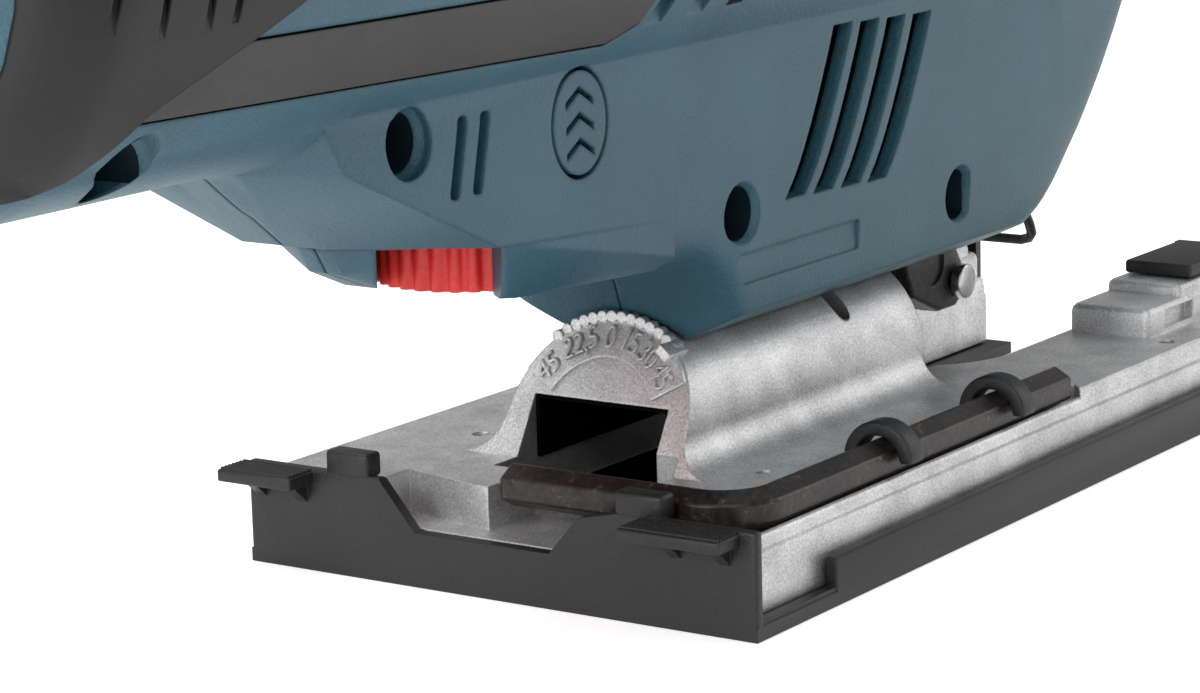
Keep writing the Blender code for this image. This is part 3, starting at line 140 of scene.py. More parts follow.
STATIONS = (
    (HOUSING_REAR_X, 0.0740, 0.1200, 0.0230, 0.0144, LOW_ROUND, 2.0),
    (HOUSING_REAR_X + 0.0035, 0.0685, 0.1255, 0.0285, 0.0178, LOW_ROUND, 2.0),
    (HOUSING_REAR_X + 0.0110, 0.0650, 0.1290, BARREL_RADIUS, 0.0200, LOW_ROUND, 2.0),
    (-0.1340, 0.0650, 0.1290, BARREL_RADIUS, 0.0200, LOW_ROUND, 2.0),
    (-0.1150, 0.0648, 0.1290, 0.0318, 0.0200, LOW_ROUND, 2.0),
    (-0.1110, 0.0622, 0.1290, 0.0317, 0.0200, LOW_ROUND, 2.0),
    (-0.1070, 0.0592, 0.1290, 0.0316, 0.0200, 1.65, 2.0),
    (-0.1015, 0.0560, 0.1290, 0.0315, 0.0200, 1.7, 2.0),
    (-0.0990, 0.0542, 0.1290, 0.0314, 0.0200, 1.7, 2.0),
    (-0.0965, 0.0503, 0.1290, 0.0313, 0.0200, 1.7, 2.0),
    (-0.0750, 0.0446, 0.1290, 0.0309, 0.0200, 1.5, 2.0),
    (-0.0650, 0.0434, 0.1290, 0.0307, 0.0200, 1.5, 2.0),
    (-0.0560, 0.0428, 0.1290, 0.0305, CASE_HALF, 1.7, 2.0),
    (-0.0520, 0.0425, 0.1290, 0.0304, CASE_HALF, 3.5, 2.0),
    (-0.0470, 0.0424, 0.1290, 0.0302, CASE_HALF, 7.0, 2.0),
    (-0.0380, 0.0422, 0.1295, 0.0298, CASE_HALF, 8.0, 2.1),
    (-0.0300, 0.0375, 0.1305, 0.0294, CASE_HALF, 8.0, 2.2),
    (-0.0270, SADDLE_LOW_Z, 0.1310, 0.0292, CASE_HALF, 9.0, 2.2),
    (0.0000, SADDLE_LOW_Z, 0.1380, 0.0285, CASE_HALF, 9.0, 2.5),
    (0.0200, SADDLE_LOW_Z, 0.1450, 0.0280, CASE_HALF, 9.0, 2.8),
    (0.0400, SADDLE_LOW_Z, HEAD_TOP_Z, 0.0275, CASE_HALF, 8.0, 3.0),
    (0.0520, 0.0300, HEAD_TOP_Z, 0.0270, CASE_HALF, 7.0, 3.0),
    (0.0600, 0.0320, HEAD_TOP_Z, 0.0266, 0.0199, 6.5, 3.0),
    (0.0700, 0.0395, 0.1490, 0.0258, 0.0197, 6.0, 2.8),
    (0.0780, 0.0475, 0.1470, 0.0248, 0.0194, 5.5, 2.6),
    (0.0860, 0.0580, 0.1425, 0.0232, 0.0188, 5.0, 2.5),
    (0.0930, 0.0700, 0.1350, 0.0205, 0.0175, 4.0, 2.3),
    (0.0980, 0.0800, 0.1240, 0.0165, 0.0145, 3.0, 2.2),
    (NOSE_REACH, 0.0860, 0.1140, 0.0110, 0.0100, 2.4, 2.2),
)
PAD_OUTLINE = ((-0.1545, 0.0772), (-0.0640, 0.0748), (-0.0585, 0.0770), (-0.0560, 0.0835),
               (-0.1400, 0.0848))
SLEEVE_EDGE = ((-0.1690, 0.0600), (-0.1676, 0.0702), (-0.1631, 0.0713), (-0.1601, 0.0727),
               (-0.1568, 0.0753),
               (-0.1535, 0.0786), (-0.1487, 0.0811), (-0.1405, 0.0848), (-0.1329, 0.0882),
               (-0.1230, 0.0990), (-0.1150, 0.1160), (-0.1130, 0.1400))
SCREW_PLACES = ((-0.1000, 0.0675), (-0.0285, 0.0480), (0.0310, 0.0415), (-0.1490, 0.0715),
                (-0.0900, 0.1170), (0.0250, 0.1300))
AXIS_TURNS = {"X": Matrix.Rotation(math.pi / 2, 4, "Y"), "Y": Matrix.Rotation(-math.pi / 2, 4, "X"),
              "Z": Matrix.Identity(4)}

# ---- camera, light and floor -----------------------------------------------------------------
CAMERA_AZIMUTH = math.radians(34.75235)
CAMERA_TILT = math.radians(11.89163)
CAMERA_ROLL = math.radians(-1.576009)
CAMERA_PLACE = Vector((-0.4301, -0.2750, 0.1307))


def add_camera():
    data = bpy.data.cameras.new("view")
    data.lens = 3634.31 / 1200 * 36
    data.sensor_width = 36
    data.clip_start = 0.01
    look = Vector((math.cos(CAMERA_AZIMUTH) * math.cos(CAMERA_TILT),
                   math.sin(CAMERA_AZIMUTH) * math.cos(CAMERA_TILT), -math.sin(CAMERA_TILT)))
    right = Vector((math.sin(CAMERA_AZIMUTH), -math.cos(CAMERA_AZIMUTH), 0))
    up = right.cross(look)
    side = right * math.cos(CAMERA_ROLL) + up * math.sin(CAMERA_ROLL)
    top = -right * math.sin(CAMERA_ROLL) + up * math.cos(CAMERA_ROLL)
    camera = bpy.data.objects.new("view", data)
    bpy.context.scene.collection.objects.link(camera)
    camera.matrix_world = Matrix(((side.x, top.x, -look.x, CAMERA_PLACE.x),
                                  (side.y, top.y, -look.y, CAMERA_PLACE.y),
                                  (side.z, top.z, -look.z, CAMERA_PLACE.z), (0, 0, 0, 1)))
    bpy.context.scene.camera = camera


def add_light(name, place, target, size, power):
    data = bpy.data.lights.new(name, "AREA")
    data.shape = "RECTANGLE"
    data.size, data.size_y = size
    data.energy = power
    lamp = bpy.data.objects.new(name, data)
    bpy.context.scene.collection.objects.link(lamp)
    lamp.location = place
    lamp.rotation_euler = (Vector(target) - Vector(place)).to_track_quat("-Z", "Y").to_euler()


def add_studio():
    scene = bpy.context.scene
    scene.view_settings.view_transform = "Standard"
    world = bpy.data.worlds.new("studio")
    world.use_nodes = True
    background = world.node_tree.nodes["Background"]
    background.inputs["Color"].default_value = (1.0, 1.0, 1.0, 1.0)
    background.inputs["Strength"].default_value = 0.42
    scene.world = world
    centre = (-0.02, 0.0, 0.06)
    add_light("overhead", (-0.10, 0.25, 1.10), centre, (1.0, 0.8), 8.5)
    add_light("key", (-0.75, -0.75, 0.75), centre, (0.7, 0.5), 3.0)
    add_light("rear_fill", (-1.05, 0.10, 0.42), centre, (0.7, 0.4), 9.0)
    add_light("rim", (0.75, -0.55, 0.45), centre, (0.5, 0.6), 2.2)
    floor_mesh = bpy.data.meshes.new("floor")
    floor_mesh.from_pydata([(-6, -6, 0), (6, -6, 0), (6, 6, 0), (-6, 6, 0)], [], [(0, 1, 2, 3)])
    floor = bpy.data.objects.new("floor", floor_mesh)
    floor.location.z = -0.0001
    scene.collection.objects.link(floor)
    paper = plain("floor_paper", (0.93, 0.93, 0.935), 0.9)
    paper.node_tree.nodes["Principled BSDF"].inputs["Emission Color"].default_value = (1.0, 1.0, 1.0, 1.0)
    paper.node_tree.nodes["Principled BSDF"].inputs["Emission Strength"].default_value = 0.42
    floor_mesh.materials.append(paper)


# ---- materials -------------------------------------------------------------------------------
def plain(name, colour, roughness):
    made = bpy.data.materials.new(name)
    made.use_nodes = True
    shader = made.node_tree.nodes["Principled BSDF"]
    shader.inputs["Base Color"].default_value = (*colour, 1.0)
    shader.inputs["Roughness"].default_value = roughness
    return made


def surface(name, dark, light, roughness, metallic=0.0, grain=1800.0, bump=0.15, depth=0.0002, blotch=60.0,
            spots=None, rough_range=0.12, streak=None, edge=0.0, gloss=0.5):
    """A grained surface: slow variation, fine grain in colour, roughness and bump, optional spots."""
    made = bpy.data.materials.new(name)
    made.use_nodes = True
    tree = made.node_tree
    nodes, links = tree.nodes, tree.links
    shader = nodes["Principled BSDF"]
    shader.inputs["Metallic"].default_value = metallic
    shader.inputs["Specular IOR Level"].default_value = gloss
    where = nodes.new("ShaderNodeTexCoord")
    place = where.outputs["Object"]
    if streak:
        stretch = nodes.new("ShaderNodeMapping")
        stretch.inputs["Scale"].default_value = streak
        links.new(place, stretch.inputs["Vector"])
        place = stretch.outputs["Vector"]

    def noise(scale, detail, rough=0.5):
        node = nodes.new("ShaderNodeTexNoise")
        node.inputs["Scale"].default_value = scale
        node.inputs["Detail"].default_value = detail
        node.inputs["Roughness"].default_value = rough
        links.new(place, node.inputs["Vector"])
        return node.outputs["Fac"]

    slow = noise(blotch, 3.0)
    fine = noise(grain, 2.0, 0.6)
    mix = nodes.new("ShaderNodeMath")
    mix.operation = "MULTIPLY_ADD"
    links.new(fine, mix.inputs[0])
    mix.inputs[1].default_value = 0.62
    half = nodes.new("ShaderNodeMath")
    half.operation = "MULTIPLY"
    links.new(slow, half.inputs[0])
    half.inputs[1].default_value = 0.38
    links.new(half.outputs[0], mix.inputs[2])
    ramp = nodes.new("ShaderNodeValToRGB")
    ramp.color_ramp.elements[0].position = 0.34
    ramp.color_ramp.elements[1].position = 0.66
    ramp.color_ramp.elements[0].color = (*dark, 1.0)
    ramp.color_ramp.elements[1].color = (*light, 1.0)
    links.new(mix.outputs[0], ramp.inputs["Fac"])
    colour = ramp.outputs["Color"]
    if spots:
        spot_colour, scale, low, high = spots
        speck = nodes.new("ShaderNodeValToRGB")
        speck.color_ramp.elements[0].position = low
        speck.color_ramp.elements[1].position = high
        speck.color_ramp.elements[0].color = (0, 0, 0, 1)
        speck.color_ramp.elements[1].color = (1, 1, 1, 1)
        links.new(noise(scale, 4.0, 0.7), speck.inputs["Fac"])
        over = nodes.new("ShaderNodeMixRGB")
        links.new(speck.outputs["Color"], over.inputs["Fac"])
        links.new(colour, over.inputs["Color1"])
        over.inputs["Color2"].default_value = (*spot_colour, 1.0)
        colour = over.outputs["Color"]
    links.new(colour, shader.inputs["Base Color"])
    span = nodes.new("ShaderNodeMapRange")
    span.inputs["To Min"].default_value = roughness - rough_range / 2
    span.inputs["To Max"].default_value = roughness + rough_range / 2
    links.new(fine, span.inputs["Value"])
    links.new(span.outputs["Result"], shader.inputs["Roughness"])
    relief = nodes.new("ShaderNodeBump")
    relief.inputs["Strength"].default_value = bump
    relief.inputs["Distance"].default_value = depth
    links.new(fine, relief.inputs["Height"])
    if edge:
        soft = nodes.new("ShaderNodeBevel")
        soft.samples = 4
        soft.inputs["Radius"].default_value = edge
        links.new(soft.outputs["Normal"], relief.inputs["Normal"])
    links.new(relief.outputs["Normal"], shader.inputs["Normal"])
    return made


MATERIALS = {
    "teal": surface("teal_plastic", (0.009, 0.050, 0.074), (0.020, 0.080, 0.110), 0.50, grain=2100.0,
                    bump=0.60, depth=0.00022, edge=0.0009),
    # darker teal painted as shade on the housing's unlit inner faces, recesses and slits
    "inside": surface("teal_painted_shade", (0.003, 0.010, 0.014), (0.005, 0.014, 0.019), 0.8, grain=1500.0,
                      bump=0.2, gloss=0.1),
    "pad": surface("grip_pad_rubber", (0.020, 0.019, 0.019), (0.036, 0.034, 0.034), 0.60, grain=1500.0,
                   bump=0.30, edge=0.0004, gloss=0.4),
    "sleeve": surface("sleeve_rubber", (0.003, 0.003, 0.003), (0.007, 0.007, 0.007), 0.50, grain=1500.0,
                      bump=0.22, edge=0.0005, gloss=0.32),
    "cast": surface("cast_aluminium", (0.34, 0.34, 0.345), (0.70, 0.70, 0.705), 0.44, metallic=0.80,
                    grain=3000.0, bump=0.42, depth=0.00014, blotch=150.0, edge=0.0004),
    "shoe": surface("shoe_plastic", (0.007, 0.007, 0.0075), (0.015, 0.015, 0.016), 0.46, grain=1900.0,
                    bump=0.32, edge=0.0003, gloss=0.35),
    "key": surface("oiled_key_steel", (0.012, 0.010, 0.009), (0.035, 0.030, 0.027), 0.36, metallic=0.55,
                   grain=900.0,
                   bump=0.25, blotch=200.0, spots=((0.16, 0.085, 0.045), 700.0, 0.60, 0.72), edge=0.0003),
    "red": surface("dial_red_plastic", (0.62, 0.016, 0.014), (0.80, 0.034, 0.028), 0.42, grain=1600.0,
                   bump=0.12, edge=0.0003),
    "black": surface("black_plastic_fine", (0.008, 0.008, 0.009), (0.018, 0.018, 0.019), 0.45, grain=1600.0,
                     bump=0.20, edge=0.0003),
    # near-black without gloss: black plastic darkened further to paint the shade in the dust channel and
    # behind the vents
    "void": surface("black_with_painted_shade", (0.002, 0.002, 0.002), (0.004, 0.004, 0.004), 0.9, grain=900.0,
                    bump=0.1, gloss=0.0),
    "steel": surface("ground_steel", (0.36, 0.36, 0.37), (0.60, 0.60, 0.61), 0.28, metallic=1.0,
                     grain=1400.0, bump=0.10, streak=(1.0, 1.0, 0.15)),
    "dark_steel": surface("blackened_steel", (0.020, 0.019, 0.019), (0.060, 0.058, 0.057), 0.42,
                          metallic=0.7, grain=1200.0, bump=0.30, edge=0.0004),
    "copper": surface("copper_bars", (0.50, 0.22, 0.11), (0.76, 0.40, 0.22), 0.34, metallic=1.0,
                      grain=1200.0, bump=0.10),
    "carbon": surface("brush_carbon", (0.010, 0.010, 0.010), (0.030, 0.030, 0.030), 0.70, grain=2000.0,
                      bump=0.30),
    "brass": surface("bush_brass", (0.48, 0.33, 0.12), (0.74, 0.55, 0.24), 0.34, metallic=1.0, grain=1400.0,
                     bump=0.10),
}
SLOT_LOOKS = {"housing": "teal", "grip": "pad", "rubber": "sleeve", "cast": "cast", "shoe": "shoe",
              "key": "key",
              "steel": "steel", "dark_steel": "dark_steel", "copper": "copper", "carbon": "carbon",
              "dial": "red", "black_plastic": "black", "brass": "brass"}


# ---- mesh helpers ----------------------------------------------------------------------------
CUTTERS = []


def add_mesh(name, bm, look=None):
    bmesh.ops.recalc_face_normals(bm, faces=bm.faces)
    mesh = bpy.data.meshes.new(name)
    bm.to_mesh(mesh)
    bm.free()
    obj = bpy.data.objects.new(name, mesh)
    bpy.context.scene.collection.objects.link(obj)
    if look:
        mesh.materials.append(MATERIALS[look])
    else:
        CUTTERS.append(obj)
    return obj


def box(name, low, high, look=None, bevel=0.0):
    bm = bmesh.new()
    bmesh.ops.create_cube(bm, size=1.0)
    bmesh.ops.scale(bm, vec=[high[i] - low[i] for i in range(3)], verts=bm.verts)
    bmesh.ops.translate(bm, vec=[(high[i] + low[i]) / 2 for i in range(3)], verts=bm.verts)
    obj = add_mesh(name, bm, look)
    if bevel:
        add_bevel(obj, bevel)
    return obj


def add_bevel(obj, width, segments=3, angle=math.radians(35)):
    bevel = obj.modifiers.new("bevel", "BEVEL")
    bevel.width = width
    bevel.segments = segments
    bevel.limit_method = "ANGLE"
    bevel.angle_limit = angle


def cylinder(name, radius, start, end, place, axis="X", look=None, segments=48, end_radius=None):
    bm = bmesh.new()
    tip = radius if end_radius is None else end_radius
    bmesh.ops.create_cone(bm, cap_ends=True, segments=segments, radius1=radius, radius2=tip,
                          depth=end - start)
    bmesh.ops.transform(bm, matrix=AXIS_TURNS[axis], verts=bm.verts)
    middle = (start + end) / 2
    centre = {"X": (middle, *place), "Y": (place[0], middle, place[1]), "Z": (*place, middle)}[axis]
    bmesh.ops.translate(bm, vec=centre, verts=bm.verts)
    return add_mesh(name, bm, look)


def stack(name, layers, axis="Z", look=None):
    """A body through outlines of equal length; each layer is (height along the axis, outline)."""
    order = {"Z": lambda a, b, c: (a, b, c),
             "Y": lambda a, b, c: (a, c, b),
             "X": lambda a, b, c: (c, a, b)}[axis]
    bm = bmesh.new()
    rings = [[bm.verts.new(order(a, b, height)) for a, b in outline] for height, outline in layers]
    count = len(rings[0])
    for first, second in zip(rings, rings[1:]):
        for i in range(count):
            j = (i + 1) % count
            bm.faces.new((first[i], first[j], second[j], second[i]))
    bm.faces.new(rings[0])
    bm.faces.new(list(reversed(rings[-1])))
    return add_mesh(name, bm, look)


def prism(name, outline, low, high, axis="Y", look=None):
    return stack(name, ((low, outline), (high, outline)), axis, look)


def tube(name, points, radius, look, segments=10):
    """A round wire along points, with closed ends."""
    bm = bmesh.new()
    rings = []
    side = None
    for i, point in enumerate(points):
        before = Vector(points[max(i - 1, 0)])
        after = Vector(points[min(i + 1, len(points) - 1)])
        forward = (after - before).normalized()
        if side is None:
            side = forward.orthogonal().normalized()
        side = (side - forward * side.dot(forward)).normalized()
        other = forward.cross(side)
        ring = []
        for step in range(segments):
            angle = 2 * math.pi * step / segments
            spoke = side * math.cos(angle) + other * math.sin(angle)
            ring.append(bm.verts.new(Vector(point) + spoke * radius))
        rings.append(ring)
    for first, second in zip(rings, rings[1:]):
        for i in range(segments):
            j = (i + 1) % segments
            bm.faces.new((first[i], first[j], second[j], second[i]))
    bm.faces.new(rings[0])
    bm.faces.new(list(reversed(rings[-1])))
    return add_mesh(name, bm, look)


def boolean(target, cutter, operation="DIFFERENCE"):
    step = target.modifiers.new(operation.lower(), "BOOLEAN")
    step.operation = operation
    step.solver = "EXACT"
    step.object = cutter


def settle(obj, angle=32.0):
    """Apply what was cut and shade smoothly up to an angle."""
    bpy.context.view_layer.update()
    graph = bpy.context.evaluated_depsgraph_get()
    mesh = bpy.data.meshes.new_from_object(obj.evaluated_get(graph))
    looks = [slot for slot in obj.data.materials if slot]
    obj.modifiers.clear()
    obj.data = mesh
    mesh.materials.clear()
    for look in looks[:1]:
        mesh.materials.append(look)
    mesh.polygons.foreach_set("material_index", [0] * len(mesh.polygons))
    bm = bmesh.new()
    bm.from_mesh(mesh)
    bmesh.ops.remove_doubles(bm, verts=bm.verts, dist=0.000002)
    bmesh.ops.dissolve_degenerate(bm, edges=bm.edges, dist=0.000002)
    bm.to_mesh(mesh)
    bm.free()
    mesh.polygons.foreach_set("use_smooth", [True] * len(mesh.polygons))
    mesh.set_sharp_from_angle(angle=math.radians(angle))
    return obj


def place_piece(obj, body, *replaced, angle=32.0):
    settle(obj, angle)
    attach(obj, body)
    if replaced:
        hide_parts(*replaced)
    return obj


def clear_cutters():
    for obj in CUTTERS:
        bpy.data.objects.remove(obj, do_unlink=True)
    CUTTERS.clear()


def arc(centre, radius, start, end, steps):
    points = []
    for step in range(steps + 1):
        angle = math.radians(start + (end - start) * step / steps)
        points.append((centre[0] + radius * math.cos(angle), centre[1] + radius * math.sin(angle)))
    return points


def inset_outline(outline, distance):
    centre = Vector((sum(x for x, _ in outline), sum(z for _, z in outline))) / len(outline)
    lines = []
    for i, point in enumerate(outline):
        start = Vector(point)
        along = (Vector(outline[(i + 1) % len(outline)]) - start).normalized()
        normal = Vector((-along.y, along.x))
        if normal.dot(centre - start) < 0:
            normal.negate()
        lines.append((start + normal * distance, along))
    moved = []
    for i, (start, along) in enumerate(lines):
        before, before_along = lines[i - 1]
        cross = before_along.x * along.y - before_along.y * along.x
        gap = start - before
        reach = (gap.x * along.y - gap.y * along.x) / cross
        moved.append(tuple(before + before_along * reach))
    return moved


# ---- housing form ----------------------------------------------------------------------------
def monotone(xs, ys, x):
    steps = np.diff(xs)
    slopes = np.diff(ys) / steps
    tangents = np.zeros(len(xs))
    for i in range(1, len(xs) - 1):
        if slopes[i - 1] * slopes[i] > 0:
            weight = 2 * steps[i] + steps[i - 1], steps[i] + 2 * steps[i - 1]
            tangents[i] = sum(weight) / (weight[0] / slopes[i - 1] + weight[1] / slopes[i])
    i = int(np.clip(np.searchsorted(xs, x) - 1, 0, len(xs) - 2))
    t = (x - xs[i]) / steps[i]
    return ((1 + 2 * t) * (1 - t) ** 2 * ys[i] + t * (1 - t) ** 2 * steps[i] * tangents[i]
            + t * t * (3 - 2 * t) * ys[i + 1] + t * t * (t - 1) * steps[i] * tangents[i + 1])


def section(x, inset=0.0, arc_points=4):
    table = np.array(STATIONS)
    columns = (monotone(table[:, 0], table[:, i], x) for i in range(1, 7))
    low, top, wide, low_wide, low_power, top_power = columns
    height = min(BARREL_Z - low, BARREL_RADIUS)
    shoulder = BARREL_Z - SHOULDER * height
    turn = math.asin(SHOULDER)
    narrow = math.cos(turn)
    side = []
    for step in range(arc_points):
        angle = math.pi / 2 * step / arc_points
        side.append((low_wide * math.sin(angle) ** (2 / low_power),
                     shoulder - (shoulder - low) * math.cos(angle) ** (2 / low_power)))
    for step in range(arc_points):
        angle = turn * (1 - step / arc_points)
        share = (math.cos(angle) - narrow) / (1 - narrow)
        side.append((low_wide + (wide - low_wide) * share, BARREL_Z - height * math.sin(angle)))
    for step in range(arc_points + 1):
        angle = math.pi / 2 * step / arc_points
        side.append((wide * math.cos(angle) ** (2 / top_power),
                     BARREL_Z + (top - BARREL_Z) * math.sin(angle) ** (2 / top_power)))
    centre = (low + top) / 2
    shrink_y = (wide - inset) / wide
    shrink_z = ((top - low) / 2 - inset) / ((top - low) / 2)
    side = [(y * shrink_y, centre + (z - centre) * shrink_z) for y, z in side]
    return side + [(-y, z) for y, z in reversed(side[1:-1])]


def loft(name, xs, inset=0.0, look=None, arc_points=4):
    bm = bmesh.new()
    rings = [[bm.verts.new((x, y, z)) for y, z in section(x, inset, arc_points)] for x in xs]
    count = len(rings[0])
    for first, second in zip(rings, rings[1:]):
        for i in range(count):
            j = (i + 1) % count
            bm.faces.new((first[i], first[j], second[j], second[i]))
    bm.faces.new(rings[0])
    bm.faces.new(list(reversed(rings[-1])))
    bmesh.ops.triangulate(bm, faces=bm.faces)
    return add_mesh(name, bm, look)


def stations_between(start, end, step=0.0):
    """The places of the sections, with more between them where a step is given."""
    xs = [start, *[row[0] for row in STATIONS if start < row[0] < end], end]
    if not step:
        return xs
    fine = []
    for first, second in zip(xs, xs[1:]):
        parts = max(1, round((second - first) / step))
        fine += [first + (second - first) * i / parts for i in range(parts)]
    return [*fine, xs[-1]]


def half_width(x, z):
    side = section(x, 0.0, 12)[:37]
    return float(np.interp(z, [point[1] for point in side], [point[0] for point in side]))


def vent_outline(index, grow=0.0):
    low_x = -0.0170 + 0.0073 * index
    low_z = 0.0488 - 0.0003 * index
    rear = [(low_x + 0.0130 * t ** 0.75, low_z + 0.0210 * t) for t in np.linspace(0, 1, 12)]
    rear = [(x - grow, z) for x, z in rear]
    rear[0] = (rear[0][0] - grow * 0.3, rear[0][1] - grow)
    rear[-1] = (rear[-1][0] + grow * 0.3, rear[-1][1] + grow)
    return rear + [(x + 0.0040 + 2 * grow, z) for x, z in reversed(rear)]


def rounded(outline, radius, steps=4):
    """An outline with its corners rounded off."""
    result = []
    for i, point in enumerate(outline):
        here = Vector(point)
        before = (Vector(outline[i - 1]) - here).normalized()
        after = (Vector(outline[(i + 1) % len(outline)]) - here).normalized()
        angle = before.angle(after)
        if angle > math.radians(165):
            result.append(tuple(here))
            continue
        reach = radius / math.tan(angle / 2)
        first, last = here + before * reach, here + after * reach
        for step in range(steps + 1):
            t = step / steps
            result.append(tuple(first * (1 - t) ** 2 + here * 2 * t * (1 - t) + last * t * t))
    return result


def cross_wall(cavity, name, start, end, bore):
    wall = box(name, (start, -CUT_FAR, 0.020), (end, CUT_FAR, HEAD_TOP_Z + 0.010))
    boolean(wall, cylinder(name + "_bore", bore, start - 0.002, end + 0.002, (0, BARREL_Z), "X"))
    boolean(cavity, wall)


def saddle_cut():
    radius = DOME_RADIUS + 0.0005
    far = 2 * CASE_HALF
    edge = CASE_HALF, SADDLE_EDGE_Z
    side = far, SADDLE_EDGE_Z + (far - CASE_HALF)
    outline = [(-far, 0.0), (far, 0.0), side, edge, *arc((0, DOME_Z), radius, 51, 129, 28)]
    outline += [(-edge[0], edge[1]), (-side[0], side[1])]
    return prism("saddle_cut", outline, REAR_X, NOSE_REACH + 0.01, "X")


def paint_inside_shade(shell):
    """The unlit inner faces of a housing half, its screw recesses and slits get a darker teal as painted
    shade.
    """
    mesh = shell.data
    mesh.materials.append(MATERIALS["inside"])
    outlines = {}
    for face in mesh.polygons:
        x, y, z = face.center
        key = round(x / 0.001)
        if key not in outlines:
            at = min(max(key * 0.001, HOUSING_REAR_X), NOSE_REACH)
            side = np.array(section(at, 0.0, 10)[:31])
            outlines[key] = side[:-1], side[1:]
        start, end = outlines[key]
        along = end - start
        gap = np.array((abs(y), z)) - start
        share = np.clip((gap * along).sum(1) / (along * along).sum(1), 0, 1)
        depth = np.linalg.norm(gap - along * share[:, None], axis=1).min()
        in_keel = x < -0.0440 and z < 0.0740
        nearest = min(math.hypot(x - place[0], z - place[1]) for place in SCREW_PLACES)
        in_recess = nearest < RECESS + 0.00015
        in_slit = -0.0945 < x < -0.0825 and 0.0590 < z < 0.0700 and abs(y) < 0.0195
        in_end = x < -0.1712 or x > 0.0880
        outer_skin = in_end or (in_keel and not (in_recess or in_slit))
        # faces deep inside the outline, also in the recesses and slits, get the painted shade
        if depth > SKIN_DEPTH and abs(y) > 0.0012 and z > 0.0360 and not outer_skin:
            face.material_index = 1


def shell_cutters(side):
    """Everything cut into one half's outer face, as closed bodies."""
    cuts = []

    def through(name, outline, depth=0.0040, out=OUTSIDE, base=CASE_HALF):
        ends = sorted((side * (base - depth), side * out))
        cuts.append(prism(name, outline, *ends))

    def tapered(name, inner, outer, depth, base=CASE_HALF, rise=0.0):
        layers = [(side * (base - depth), inner), (side * (base - rise), outer),
                  (side * (base + 0.004), outer)]
        cuts.append(stack(name, layers, "Y"))

    for index in range(4):
        tapered(f"vent_{index}", vent_outline(index), vent_outline(index, 0.0006), 0.0042)
    for index in range(4):
        x, z = -0.0577 + 0.0095 * index, 0.0752
        slot = [(x, z), (x + 0.0040, z), (x + 0.0110, z + 0.0200), (x + 0.0070, z + 0.0200)]
        through(f"high_vent_{index}", rounded(slot, 0.0010), 0.0030, base=0.0270)
    for index in range(2):
        x = 0.0045 * index
        slot = [(-0.0927 + x, 0.0596), (-0.0907 + x, 0.0596), (-0.0884 + x, 0.0694), (-0.0904 + x, 0.0694)]
        through(f"slit_{index}", rounded(slot, 0.0008), 0.0045, base=half_width(-0.090, 0.064))
    return cuts


def emblem_cuts(side):
    """A generic oval mark: a ring with a leaf-like chevron."""
    base = half_width(-0.0655, 0.0653)
    cuts = []
    centre = (-0.0655, 0.0653)

    def oval(width, height, steps=40):
        return [(centre[0] + width * math.cos(2 * math.pi * i / steps),
                 centre[1] + height * math.sin(2 * math.pi * i / steps)) for i in range(steps)]

    depth = 0.0009
    ends = sorted((side * (base - depth - 0.0006), side * OUTSIDE))
    outer = prism("emblem_outer", oval(0.0062, 0.0071), *ends)
    boolean(outer, prism("emblem_inner", oval(0.0056, 0.0065), side * 0.010 - 0.005, side * 0.046))
    cuts.append(outer)
    for index, lift in enumerate((-0.0030, 0.0002, 0.0034)):
        x, z = centre[0], centre[1] + lift
        chevron = [(x - 0.0030, z - 0.0006), (x, z + 0.0012), (x + 0.0030, z - 0.0006),
                   (x + 0.0030, z - 0.0015), (x, z + 0.0003), (x - 0.0030, z - 0.0015)]
        cuts.append(prism(f"emblem_bar_{index}", chevron, *ends))
    return cuts


def hull(name, points):
    """The convex body through points given for the right side and mirrored to the left."""
    bm = bmesh.new()
    for x, y, z in points:
        for side in (-1, 1):
            bm.verts.new((x, side * y, z))
    result = bmesh.ops.convex_hull(bm, input=bm.verts)
    loose = [v for v in result["geom_interior"] if isinstance(v, bmesh.types.BMVert)]
    bmesh.ops.delete(bm, geom=loose, context="VERTS")
    bmesh.ops.dissolve_limit(bm, angle_limit=math.radians(1.0), verts=bm.verts, edges=bm.edges)
    return add_mesh(name, bm)


BOW = ((-0.0996, 0.0064, 0.0539), (-0.1139, 0.0064, 0.0648), (-0.1155, 0.0195, 0.0720),
       (-0.1120, 0.0199, 0.0655),
       (-0.0831, 0.0200, 0.0525), (-0.0450, 0.0200, 0.0500), (-0.0450, 0.0200, 0.0720),
       (-0.1155, 0.0060, 0.0720))
DIAL_BLOCK = ((-0.0940, 0.0026, 0.0528), (-0.0917, 0.0026, 0.0492), (-0.0820, 0.0195, 0.0528),
              (-0.0844, 0.0030, 0.0464), (-0.0751, 0.0105, 0.0439), (-0.0722, 0.0142, 0.0439),
              (-0.0450, 0.0170, 0.0430), (-0.0450, 0.0200, 0.0450), (-0.0450, 0.0200, 0.0530))


def dial_window():
    """The opening that shows the thumbwheel at the rear right of the block."""
    room = DIAL_RADIUS + DIAL_ROOM
    outline = [(-0.1130, -0.0245), (-0.0970, -0.0310), (-0.0744, -0.0136)]
    outline += arc((DIAL_X, 0.0), room - 0.0010, 227.6, 133.0, 24)
    return prism("dial_window", outline, 0.0400, 0.0524, "Z")


